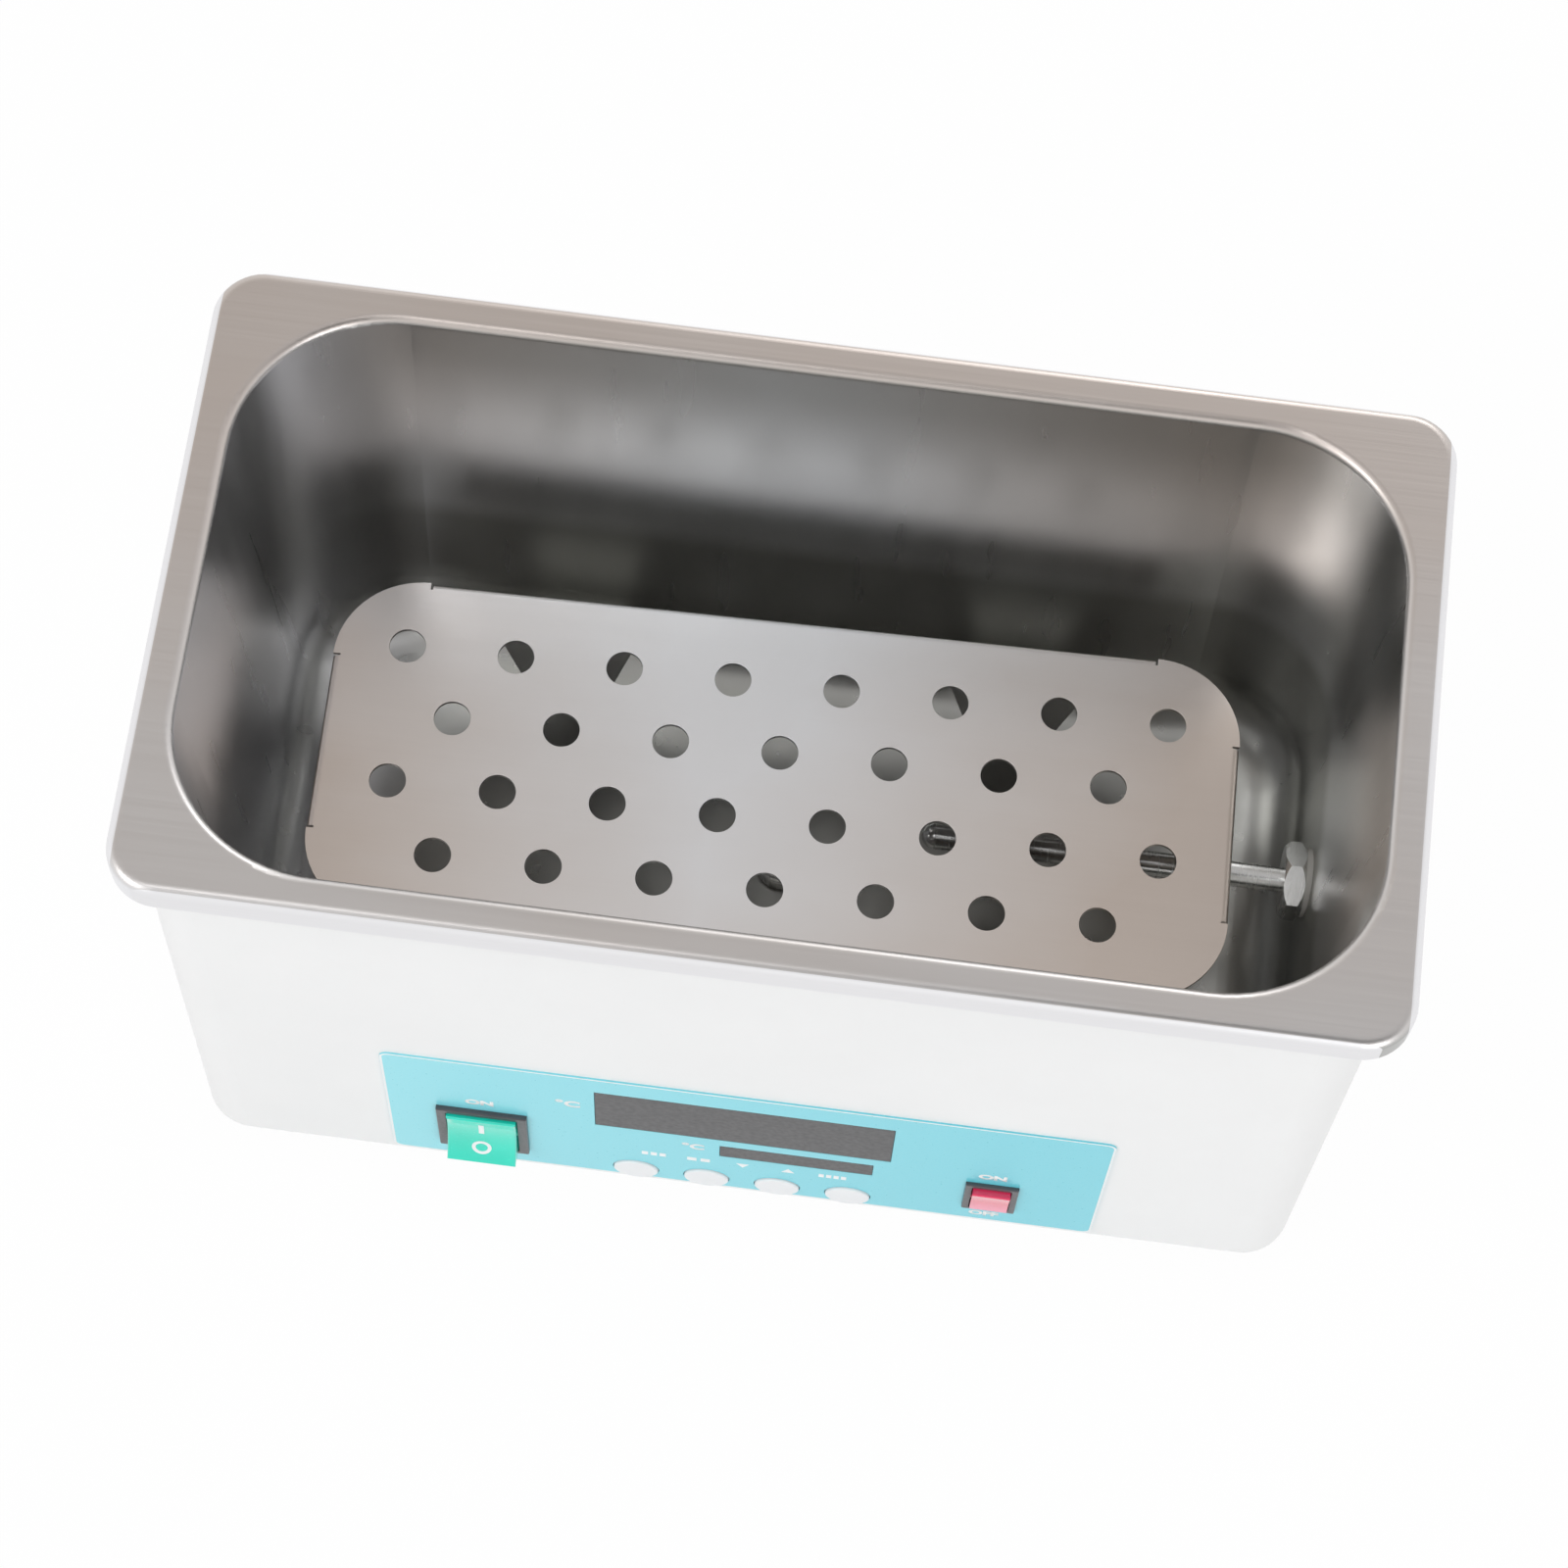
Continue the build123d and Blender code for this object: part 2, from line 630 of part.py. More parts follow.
for x, z in inlet_screw_places:
    inlet -= rod_y(screw_radius + slide_fit, rear_face, inlet_front, x, z)
    head = rod_y(screw_head_radius, inlet_front, inlet_front + screw_head_height, x, z)
    head = fillet(head.edges().filter_by(GeomType.CIRCLE).sort_by(Axis.Y)[-1], screw_head_height / 2)
    nut = Pos(x, rear_inside, z) * Rot(90, 0, 0) * hexagon(inlet_nut_across_flats, inlet_nut_height)
    inlet_screws.append(head + rod_y(screw_radius, screw_end, inlet_front, x, z) + nut)
parts["mains_inlet"] = inlet
parts["inlet_blades"] = joined(blades)
parts["inlet_screws"] = joined(inlet_screws)

# Fuse drawer: a small tray that pulls straight out below the socket, with its glass fuse
drawer = block(centred(inlet_x, drawer_width), (drawer_back, inlet_front + drawer_pull),
               centred(drawer_z, drawer_height))
fuse_y = drawer_back + drawer_wall + fuse_radius + slide_fit
tray = 2 * (fuse_radius + slide_fit)
drawer -= block(centred(inlet_x, fuse_length + 2 * slide_fit), centred(fuse_y, tray),
                (drawer_z - drawer_height / 2 + drawer_wall, drawer_z + drawer_height))
grip = block(centred(inlet_x, drawer_width / 2), (inlet_front, inlet_front + drawer_pull),
             (drawer_z + drawer_wall, drawer_z + drawer_height))
parts["fuse_drawer"] = drawer - grip
fuse_z = drawer_z - drawer_height / 2 + drawer_wall + fuse_radius
parts["fuse"] = rod_x(fuse_radius, inlet_x - fuse_length / 2, inlet_x + fuse_length / 2, fuse_y, fuse_z)

# Feet, base plate and the studs that draw the tank down on to the casing
base_sheet = 1.5
base_margin = 2.0
base_screw_inset = 8.0
base_screw_spacing = 82.0
foot_radius = 11.0
foot_taper = 1.5
foot_end_inset = 28.5
foot_side_inset = 28.0
foot_recess_radius = 5.0
foot_recess_depth = 5.0
foot_screw_radius = 2.0
foot_screw_head_radius = 3.8
foot_screw_head_height = 2.6
foot_nut_across_flats = 7.0
foot_nut_height = 3.2
stud_clearance = 7.0
stud_inset = 6.0
stud_radius = 2.5
stud_nut_across_flats = 8.0
stud_nut_height = 4.0
vent_length = 26.0
vent_width = 3.0
vent_pitch = 8.0
vent_count = 7
vent_x = 78.0

base_top = foot_height
base_bottom = foot_height - base_sheet
plate_size = (casing_length - 2 * base_margin, casing_depth - 2 * base_margin)
base_plate = slab(plate_size[0], plate_size[1], casing_corner_radius - base_margin, base_bottom, base_top)
base_screw_places = corners(casing_length / 2 - base_screw_inset, base_screw_spacing / 2)
base_screw_places += [(0, side * (casing_depth / 2 - base_screw_inset)) for side in (-1, 1)]
foot_places = corners(casing_length / 2 - foot_end_inset, casing_depth / 2 - foot_side_inset)
stud_places = corners(plate_length / 2 + stud_clearance, plate_depth / 2 - stud_inset)
for x, y in base_screw_places:
    base_plate -= rod_z(screw_radius + slide_fit, base_bottom, base_top, x, y)
for x, y in foot_places:
    base_plate -= rod_z(foot_screw_radius + slide_fit, base_bottom, base_top, x, y)
for x, y in stud_places:
    base_plate -= rod_z(stud_radius + slide_fit, base_bottom, base_top, x, y)
for side in (-1, 1):
    for i in range(vent_count):
        y = (i - (vent_count - 1) / 2) * vent_pitch
        slot = extrude(SlotOverall(vent_length, vent_width), amount=base_sheet)
        base_plate -= Pos(side * vent_x, y, base_bottom) * slot
parts["base_plate"] = base_plate

feet = []
foot_screws = []
for x, y in foot_places:
    foot = Pos(x, y, 0) * Cone(foot_radius - foot_taper, foot_radius, base_bottom,
                               align=(Align.CENTER, Align.CENTER, Align.MIN))
    foot -= rod_z(foot_recess_radius, 0, foot_recess_depth, x, y)
    foot -= rod_z(foot_screw_radius + slide_fit, 0, base_bottom, x, y)
    feet.append(foot)
    head_low = foot_recess_depth - foot_screw_head_height
    screw = rod_z(foot_screw_head_radius, head_low, foot_recess_depth, x, y)
    nut = Pos(x, y, base_top) * hexagon(foot_nut_across_flats, foot_nut_height)
    foot_screws.append(screw + nut + rod_z(foot_screw_radius, foot_recess_depth,
                                           base_top + foot_nut_height + bolt_tail, x, y))
parts["rubber_feet"] = joined(feet)
parts["foot_screws"] = joined(foot_screws)
parts["tie_studs"] = joined([
    rod_z(stud_radius, base_bottom - stud_nut_height - bolt_tail, floor_underside, x, y)
    for x, y in stud_places])
stud_nuts = []
for x, y in stud_places:
    nut = Pos(x, y, base_bottom - stud_nut_height) * hexagon(stud_nut_across_flats, stud_nut_height)
    stud_nuts.append(nut - rod_z(stud_radius + pin_fit, 0, base_bottom, x, y))
parts["tie_nuts"] = joined(stud_nuts)

# Casing: a painted sheet shell, open at the top, with a flange folded inwards round its foot
shell = slab(casing_length, casing_depth, casing_corner_radius, foot_height, casing_top)
shell = fillet(shell.edges().group_by(Axis.Z)[0], casing_fold_radius)
flange_top = foot_height + casing_sheet
inner_corner = casing_corner_radius - casing_sheet
casing = shell - slab(2 * side_inside, 2 * rear_inside, inner_corner, flange_top, casing_top)
casing -= slab(casing_length - 2 * casing_flange_width, casing_depth - 2 * casing_flange_width,
               inner_corner, foot_height, flange_top)
for cut in control_holes((front_face - overrun, front_inside + overrun)):
    casing -= cut
casing -= block(centred(inlet_x, inlet_body_width + 2 * slide_fit), (rear_inside, rear_face),
                centred(inlet_z, inlet_body_height + 2 * slide_fit))
for x, z in inlet_screw_places:
    casing -= rod_y(screw_radius + slide_fit, rear_inside, rear_face, x, z)
base_screws = []
for x, y in base_screw_places:
    casing -= rod_z(screw_radius + pin_fit, foot_height, flange_top, x, y)
    base_screws.append(rod_z(screw_head_radius, base_bottom - screw_head_height, base_bottom, x, y)
                       + rod_z(screw_radius, base_bottom, flange_top + bolt_tail, x, y))
parts["outer_casing"] = casing
parts["base_screws"] = joined(base_screws)

# Rim seal: a rubber edging on the casing's top edge, under the tank's deck
seal_outer = slab(casing_length + 2 * seal_lip, casing_depth + 2 * seal_lip,
                  casing_corner_radius + seal_lip, casing_top - seal_drop, deck_underside)
seal_inner = slab(2 * side_inside, 2 * rear_inside, inner_corner,
                  casing_top - seal_drop, deck_underside)
casing_edge = slab(casing_length, casing_depth, casing_corner_radius,
                   casing_top - seal_drop, casing_top)
parts["rim_seal"] = seal_outer - seal_inner - casing_edge

# Wall blanket: insulation round the tank's back and ends, where the drawn walls leave room
blanket_top_depth = 40.0
blanket_bottom_depth = 128.0
blanket_gap = 0.4
blanket_front = 62.0
lead_channel = 11.5
blanket_span = (rim_top - blanket_bottom_depth, rim_top - blanket_top_depth)
blanket = slab(2 * (side_inside - blanket_gap), 2 * (rear_inside - blanket_gap),
               inner_corner - blanket_gap, *blanket_span)
blanket -= drawn_form(tank_sheet + blanket_gap)
blanket -= block(centred(0, casing_length), (front_face, -blanket_front), blanket_span)
blanket -= block((0, casing_length / 2), centred(0, 2 * lead_channel),
                 (blanket_span[0], sensor_height + lead_channel))
parts["wall_insulation"] = blanket

# Power board on the base plate: transformer, relay, capacitors, triac heat sink and terminals
power_board_x = -18.0
power_board_rear_gap = 18.8
power_board_width = 112.0
power_board_depth = 72.0
power_pillar_height = 8.0
core_size = (38.0, 30.0, 20.0)
core_corner = 1.0
bobbin_size = (19.0, 36.0, 12.0)
relay_size = (19.0, 15.5, 15.5)
capacitor_radius = 5.0
capacitor_height = 16.0
capacitor_pitch = 12.0
capacitor_count = 3
sink_size = (24.0, 15.0, 18.0)
sink_fins = 5
sink_wall = 4.5
fin_thickness = 1.6
terminal_pitch = 7.5
terminal_ways = 5
terminal_size = (11.0, 12.0)
terminal_hole_radius = 1.6
component_gap = 6.0

power_board_low = base_top + power_pillar_height
power_board_top = power_board_low + board_thickness
board_left = power_board_x - power_board_width / 2
board_right = power_board_x + power_board_width / 2
board_rear = rear_inside - power_board_rear_gap
board_near = board_rear - power_board_depth
power_board_y = (board_rear + board_near) / 2
power_pillars = [(power_board_x + dx, power_board_y + dy) for dx, dy in corners(
    power_board_width / 2 - pillar_inset, power_board_depth / 2 - pillar_inset)]
power_board = block((board_left, board_right), (board_near, board_rear),
                    (power_board_low, power_board_top))
for x, y in power_pillars:
    power_board -= rod_z(screw_radius + slide_fit, power_board_low, power_board_top, x, y)
parts["power_board"] = power_board
parts["power_pillars"] = joined([
    rod_z(pillar_radius, base_top, power_board_low, x, y)
    - rod_z(screw_radius + pin_fit, power_board_low - screw_bite, power_board_low, x, y)
    for x, y in power_pillars])
parts["power_board_screws"] = joined([
    rod_z(screw_head_radius, power_board_top, power_board_top + screw_head_height, x, y)
    + rod_z(screw_radius, power_board_low - screw_bite, power_board_top, x, y)
    for x, y in power_pillars])


def on_board(x, y, size):
    """A component's box, standing on the power board."""
    return block(centred(x, size[0]), centred(y, size[1]), (power_board_top, power_board_top + size[2]))


core_x = board_left + core_size[0] / 2 + 2 * component_gap
core_y = board_rear - core_size[1] / 2 - component_gap
core = on_board(core_x, core_y, core_size)
parts["transformer"] = (fillet(core.edges().filter_by(Axis.Z), core_corner)
                        + on_board(core_x, core_y, bobbin_size))
relay_x = core_x + core_size[0] / 2 + component_gap + relay_size[0] / 2
parts["relay"] = on_board(relay_x, core_y, relay_size)
capacitors = []
for i in range(capacitor_count):
    x = relay_x + (i - (capacitor_count - 1) / 2) * capacitor_pitch
    y = core_y - relay_size[1] / 2 - component_gap - capacitor_radius
    can = rod_z(capacitor_radius, power_board_top, power_board_top + capacitor_height, x, y)
    capacitors.append(fillet(can.edges().filter_by(GeomType.CIRCLE), core_corner))
parts["capacitors"] = joined(capacitors)
sink_x = board_right - sink_size[0] / 2 - component_gap
sink = on_board(sink_x, core_y, sink_size)
fin_pitch = sink_size[0] / sink_fins
for i in range(sink_fins):
    x = sink_x + (i - (sink_fins - 1) / 2) * fin_pitch
    sink -= block(centred(x, fin_pitch - fin_thickness),
                  (core_y - sink_size[1] / 2 + sink_wall, core_y + sink_size[1]),
                  (power_board_top + fin_thickness, power_board_top + 2 * sink_size[2]))
parts["triac_heat_sink"] = sink
terminal_y = board_near + terminal_size[0] / 2 + component_gap
terminals = on_board(power_board_x, terminal_y,
                     (terminal_pitch * terminal_ways, terminal_size[0], terminal_size[1]))
for i in range(terminal_ways):
    x = power_board_x + (i - (terminal_ways - 1) / 2) * terminal_pitch
    terminals -= rod_z(terminal_hole_radius, power_board_top + terminal_size[1] / 2,
                       power_board_top + terminal_size[1], x, terminal_y)
parts["terminal_block"] = terminals

# Earth stud midway between the power board and the inlet, with its nut
earth_inset = 22.0
earth_height = 12.0
earth_x = (board_right + inlet_x - inlet_body_width / 2) / 2
earth_y = rear_face - earth_inset
earth_bolt = rod_z(foot_screw_radius, base_top, base_top + earth_height, earth_x, earth_y)
earth_nut = Pos(earth_x, earth_y, base_top + foot_nut_height) * hexagon(
    foot_nut_across_flats, foot_nut_height)
earth_washer = rod_z(foot_screw_head_radius, base_top, base_top + foot_nut_height, earth_x, earth_y)
parts["earth_stud"] = earth_bolt + earth_nut + earth_washer

# Leads held inside: a flat ribbon between the boards, the probe's lead and the two mains leads
lead_radius = 1.1
lead_bend = 11.0
probe_lead_bend = 2.2
probe_lead_height = 30.0
mains_lead_gap = 24.5
mains_lead_pitch = 5.0
ribbon_width = 22.0
ribbon_thickness = 1.0
ribbon_bend = 6.0
ribbon_height = 34.0
ribbon_landing = 10.0
ribbon_inset = 26.0


def lead(points, bend):
    """A round lead along straight runs with rounded turns."""
    path = FilletPolyline(*points, radius=bend)
    start = Plane(origin=path @ 0, z_dir=path % 0)
    return sweep(start * Circle(lead_radius), path=path)


ribbon_y = board_near + ribbon_landing
ribbon_band = Polygon((board_back, ribbon_height), (ribbon_y + ribbon_thickness, ribbon_height),
                      (ribbon_y + ribbon_thickness, power_board_top), (ribbon_y, power_board_top),
                      (ribbon_y, ribbon_height - ribbon_thickness),
                      (board_back, ribbon_height - ribbon_thickness), align=None)
outer_turn = ribbon_band.vertices().sort_by_distance((ribbon_y + ribbon_thickness, ribbon_height, 0))[0]
ribbon_band = fillet(outer_turn, ribbon_bend + ribbon_thickness)
inner_turn = ribbon_band.vertices().sort_by_distance((ribbon_y, ribbon_height - ribbon_thickness, 0))[0]
ribbon_band = fillet(inner_turn, ribbon_bend)
parts["display_ribbon"] = Pos(board_left + ribbon_inset, 0, 0) * extrude(
    Plane.YZ * ribbon_band, amount=ribbon_width / 2, both=True)

probe_lead_x = side_inside - fit - lead_radius
terminals_end = power_board_x + terminal_pitch * terminal_ways / 2
parts["sensor_lead"] = lead([(probe_end, 0, sensor_height), (probe_lead_x, 0, sensor_height),
                             (probe_lead_x, 0, probe_lead_height),
                             (terminals_end, 0, probe_lead_height)], probe_lead_bend)
mains_leads = []
blade_end = inlet_back - tab_reach
switch_tab_end = power_switch.body_back + tab_reach
for side in (-1, 1):
    x = inlet_x + side * blade_pitch
    y = switch_tab_end + mains_lead_gap - (side + 1) / 2 * mains_lead_pitch
    tab_x = power_switch.x + side * tab_column_share * power_switch.body_width
    mains_leads.append(lead([(x, blade_end, blade_z), (x, y, blade_z), (tab_x, y, blade_z),
                             (tab_x, switch_tab_end, blade_z)], lead_bend))
parts["mains_leads"] = joined(mains_leads)

# The frame's origin is the middle of the whole footprint, so the tank stands a little behind it
front_reach = -min(piece.bounding_box().min.Y for piece in parts.values())
rear_reach = max(piece.bounding_box().max.Y for piece in parts.values())
frame_shift = (front_reach - rear_reach) / 2

for node, piece in parts.items():
    export_step(Pos(0, frame_shift, 0) * piece, "parts/%s.step" % node)
print(len(parts), "sub-parts, shifted by", round(frame_shift, 4))
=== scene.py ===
import math

import bmesh
import bpy
from mathutils import Euler, Matrix, Vector
from mathutils.bvhtree import BVHTree


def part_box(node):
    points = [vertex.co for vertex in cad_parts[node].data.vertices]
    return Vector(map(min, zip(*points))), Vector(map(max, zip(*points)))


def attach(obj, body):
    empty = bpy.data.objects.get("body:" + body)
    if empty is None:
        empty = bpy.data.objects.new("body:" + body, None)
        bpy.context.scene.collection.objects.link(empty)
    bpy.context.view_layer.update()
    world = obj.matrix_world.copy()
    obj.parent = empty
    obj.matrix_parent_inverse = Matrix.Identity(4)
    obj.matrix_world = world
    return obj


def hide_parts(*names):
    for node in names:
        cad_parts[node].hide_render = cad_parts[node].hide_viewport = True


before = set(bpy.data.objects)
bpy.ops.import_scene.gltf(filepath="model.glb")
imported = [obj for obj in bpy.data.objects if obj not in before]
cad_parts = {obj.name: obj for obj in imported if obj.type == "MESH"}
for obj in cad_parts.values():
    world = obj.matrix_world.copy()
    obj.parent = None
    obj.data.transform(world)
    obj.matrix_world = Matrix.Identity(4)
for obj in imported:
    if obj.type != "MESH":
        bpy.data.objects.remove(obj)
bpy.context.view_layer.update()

# Tank
# One sheet of stainless steel, drawn deep, with a flat deck folded down into a skirt all round.
# The deck keeps the brushing of the coil; the drawn walls bow in slightly and have faint upright
# draw lines, and the basin is darkened with painted shade below the shelf's top.
millimetre = 0.001
tank_low, tank_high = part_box("tank")
rim_top = tank_high.z
middle_y = (tank_low.y + tank_high.y) / 2
half_length = (tank_high.x - tank_low.x) / 2
half_depth = (tank_high.y - tank_low.y) / 2
skirt_share = 0.987
lip_bottom = rim_top - 2.2 * millimetre
lip_top = rim_top - 0.7 * millimetre
# Painted shade: the basin walls are painted darker towards the rim between these heights.
shade_bottom = rim_top - 50 * millimetre
shade_top = rim_top - 10 * millimetre
# Painted shade: the basin is painted darker below the shelf's top, fading over this height.
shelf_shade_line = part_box("shelf")[1].z + 4 * millimetre
shelf_shade_fade = 12 * millimetre
# Painted light: the left end of the basin is painted paler, fading out between these places.
left_end_pale = -150 * millimetre
left_end_plain = -100 * millimetre
coil_brushing = (9, 1500, 1500)
draw_lines = (160, 160, 14)
cloud_scale = 13
speck_spacing_scale = 42.0
speck_radius = 0.013
speckless_share = 0.72
# Painted light: how much paler the deck is painted towards the right and the front.
painted_light_rightward = 0.4
painted_light_frontward = -3.5
wall_bow = -0.062
draw_line_depth = 0.001 * millimetre
brush_depth = 0.01 * millimetre


def new_node(material, sort, **settings):
    """A new node of this sort in the material or world, with its settings."""
    node = material.node_tree.nodes.new(sort)
    for name, value in settings.items():
        setattr(node, name, value)
    return node


def feed(material, node, socket, value):
    """Feeds an input with a number, a colour or another node's output."""
    if isinstance(value, bpy.types.NodeSocket):
        material.node_tree.links.new(value, node.inputs[socket])
    else:
        node.inputs[socket].default_value = value


def math_node(material, operation, first, second=0.0):
    """One step of arithmetic on values of the material."""
    node = new_node(material, "ShaderNodeMath", operation=operation)
    for socket, value in enumerate((first, second)):
        feed(material, node, socket, value)
    return node.outputs[0]


def object_place(material, scale=(1, 1, 1)):
    """Object coordinates, scaled along each axis."""
    place = new_node(material, "ShaderNodeTexCoord")
    mapping = new_node(material, "ShaderNodeMapping")
    mapping.inputs["Scale"].default_value = scale
    feed(material, mapping, "Vector", place.outputs["Object"])
    return mapping.outputs["Vector"]


def noise(material, scale, detail=3.0, roughness=0.5):
    """Noise on Object coordinates; the scale is one number, or one for each axis."""
    node = new_node(material, "ShaderNodeTexNoise")
    node.inputs["Scale"].default_value = 1.0
    node.inputs["Detail"].default_value = detail
    node.inputs["Roughness"].default_value = roughness
    scales = scale if isinstance(scale, tuple) else (scale,) * 3
    feed(material, node, "Vector", object_place(material, scales))
    return node.outputs["Fac"]


def axes(material):
    """The three Object coordinates by themselves."""
    split = new_node(material, "ShaderNodeSeparateXYZ")
    feed(material, split, 0, object_place(material))
    return split.outputs


def spread(material, value, low, high, start=0.3, end=0.7, smooth=False):
    """A value remapped from start..end to low..high."""
    node = new_node(material, "ShaderNodeMapRange")
    if smooth:
        node.interpolation_type = "SMOOTHSTEP"
    node.inputs["From Min"].default_value = start
    node.inputs["From Max"].default_value = end
    node.inputs["To Min"].default_value = low
    node.inputs["To Max"].default_value = high
    feed(material, node, "Value", value)
    return node.outputs["Result"]


def blend_colours(material, factor, first, second):
    """A colour between two colours or sockets, by a factor from 0 to 1."""
    node = new_node(material, "ShaderNodeMix", data_type="RGBA")
    feed(material, node, "Factor", factor)
    for socket, value in ((6, first), (7, second)):
        feed(material, node, socket, (*value, 1) if isinstance(value, tuple) else value)
    return node.outputs[2]


def two_tone(material, value, first, second, start=0.3, end=0.7):
    """A colour that runs from the first to the second as the value rises."""
    return blend_colours(material, spread(material, value, 0, 1, start, end), first, second)


def bumped(material, height, distance, strength=1.0, under=None):
    """A normal from a height, over another normal if one is given."""
    node = new_node(material, "ShaderNodeBump")
    node.inputs["Distance"].default_value = distance
    feed(material, node, "Strength", strength)
    feed(material, node, "Height", height)
    if under is not None:
        feed(material, node, "Normal", under)
    return node.outputs["Normal"]


def new_material(name, metallic=0.0, roughness=0.5, **sockets):
    """A material whose Principled shader has its plain values set; returns it and its shader."""
    material = bpy.data.materials.new(name)
    material.use_nodes = True
    shader = material.node_tree.nodes["Principled BSDF"]
    shader.inputs["Metallic"].default_value = metallic
    shader.inputs["Roughness"].default_value = roughness
    for socket, value in sockets.items():
        shader.inputs[socket.replace("_", " ")].default_value = value
    return material, shader


def dress(node, material):
    """Gives a CAD node its finish."""
    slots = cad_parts[node].data.materials
    slots.clear()
    slots.append(material)


tank_steel, shader = new_material("tank_steel", metallic=1.0)
x, y, z = axes(tank_steel)
from_middle = math_node(tank_steel, "SUBTRACT", y, middle_y)
across = math_node(tank_steel, "DIVIDE", math_node(tank_steel, "ABSOLUTE", from_middle), half_depth)
along = math_node(tank_steel, "DIVIDE", math_node(tank_steel, "ABSOLUTE", x), half_length)
outward = math_node(tank_steel, "MAXIMUM", across, along)
outside = math_node(tank_steel, "GREATER_THAN", outward, skirt_share)
upper = spread(tank_steel, z, 0, 1, lip_bottom, lip_top)
on_deck = math_node(tank_steel, "MAXIMUM", outside, upper)
brushing = noise(tank_steel, coil_brushing, detail=5.0, roughness=0.65)
drawing = noise(tank_steel, draw_lines, detail=2.0)
clouds = noise(tank_steel, cloud_scale, detail=2.0)

marks = new_node(tank_steel, "ShaderNodeTexVoronoi")
marks.inputs["Scale"].default_value = speck_spacing_scale
feed(tank_steel, marks, "Vector", object_place(tank_steel))
chosen = new_node(tank_steel, "ShaderNodeSeparateColor")
feed(tank_steel, chosen, 0, marks.outputs["Color"])
specks = math_node(tank_steel, "MULTIPLY",
                   math_node(tank_steel, "LESS_THAN", marks.outputs["Distance"], speck_radius),
                   math_node(tank_steel, "GREATER_THAN", chosen.outputs[0], speckless_share))

# Painted light: the deck's colour is paler towards the right and the front, following the light it
# reflects; the clouds add a random tone.
painted_light_and_cloud_tone = math_node(tank_steel, "ADD",
                     math_node(tank_steel, "MULTIPLY", x, painted_light_rightward),
                     math_node(tank_steel, "MULTIPLY", from_middle, painted_light_frontward))
painted_light_and_cloud_tone = math_node(tank_steel, "ADD", painted_light_and_cloud_tone, clouds)
deck_colour = two_tone(tank_steel, painted_light_and_cloud_tone, (0.56, 0.505, 0.47), (0.61, 0.59, 0.58), 0.15, 0.85)
# Painted light: the skirt and the deck's outer fold are the same steel, painted pale and faintly
# lilac for the bright surround that they mirror.
deck_colour = blend_colours(tank_steel, outside, deck_colour, (0.82, 0.815, 0.83))
# Painted shade: the basin walls darken towards the rim.
painted_shade_near_rim = spread(tank_steel, z, 0, 1, shade_bottom, shade_top, smooth=True)
# Painted shade: the basin is darker below the shelf's top, where the shelf shades it.
painted_shade_under_shelf = spread(tank_steel, z, 1, 0, shelf_shade_line - shelf_shade_fade, shelf_shade_line, smooth=True)
# Painted light: the basin's left end is paler.
painted_light_left_end = spread(tank_steel, x, 1, 0, left_end_pale, left_end_plain, smooth=True)
basin_colour = two_tone(tank_steel, clouds, (0.70, 0.70, 0.70), (0.76, 0.76, 0.75))
# The basin's colour, with painted shade near the rim and under the shelf, painted light at the left
# end, and pale specks.
for where, colour in ((painted_shade_near_rim, (0.44, 0.44, 0.43)), (painted_shade_under_shelf, (0.48, 0.48, 0.46)),
                      (painted_light_left_end, (0.82, 0.82, 0.84)), (specks, (0.95, 0.95, 0.95))):
    basin_colour = blend_colours(tank_steel, where, basin_colour, colour)
feed(tank_steel, shader, "Base Color",
     blend_colours(tank_steel, on_deck, basin_colour, deck_colour))

rough = new_node(tank_steel, "ShaderNodeMix", data_type="FLOAT")
feed(tank_steel, rough, 0, on_deck)
feed(tank_steel, rough, 2, spread(tank_steel, drawing, 0.27, 0.31))
feed(tank_steel, rough, 3, spread(tank_steel, brushing, 0.30, 0.42))
feed(tank_steel, shader, "Roughness", rough.outputs[0])
in_basin = math_node(tank_steel, "SUBTRACT", 1.0, on_deck)
bow = math_node(tank_steel, "MULTIPLY", z, wall_bow)
bowed = bumped(tank_steel, bow, 1.0, in_basin)
drawn = bumped(tank_steel, drawing, draw_line_depth, in_basin, under=bowed)
feed(tank_steel, shader, "Normal",
     bumped(tank_steel, brushing, brush_depth, on_deck, under=drawn))
dress("tank", tank_steel)

# Shelf
# A loose plate with punched holes and folded edges, standing on four tapering legs.
# It is thinner and more satin than the tank, deburred, and brushed along its length.
shelf_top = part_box("shelf")[1].z
# Painted light: below these heights the legs and folded edges are painted paler.
leg_start = shelf_top - 17 * millimetre
leg_full = shelf_top - 20 * millimetre
# Painted light and shade: where the plate is painted palest, and how fast it darkens and browns
# towards its ends and front.
painted_light_middle_x = -20 * millimetre
painted_shade_sideways = 6.5
painted_shade_frontward = -3.0
cloudiness = 0.35
plate_brush_depth = 0.012 * millimetre
plate_edge = 0.25 * millimetre
doubles_apart = 0.005 * millimetre
flat_angle = math.radians(0.6)
sharp_angle = math.radians(30)
shading_angle = math.radians(50)


def finished(shape, name, material, body="housing", stands_for=(), smooth=True):
    """Turns a bmesh into a piece with its finish, body, slot and the nodes that it stands for."""
    mesh = bpy.data.meshes.new(name)
    shape.to_mesh(mesh)
    shape.free()
    mesh.materials.clear()
    mesh.materials.append(material)
    if smooth:
        mesh.shade_smooth()
        mesh.set_sharp_from_angle(angle=shading_angle)
    piece = bpy.data.objects.new(name, mesh)
    bpy.context.collection.objects.link(piece)
    if smooth:
        even = piece.modifiers.new("even_normals", "WEIGHTED_NORMAL")
        even.keep_sharp = True
    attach(piece, body)
    if stands_for:
        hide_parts(*stands_for)
    return piece


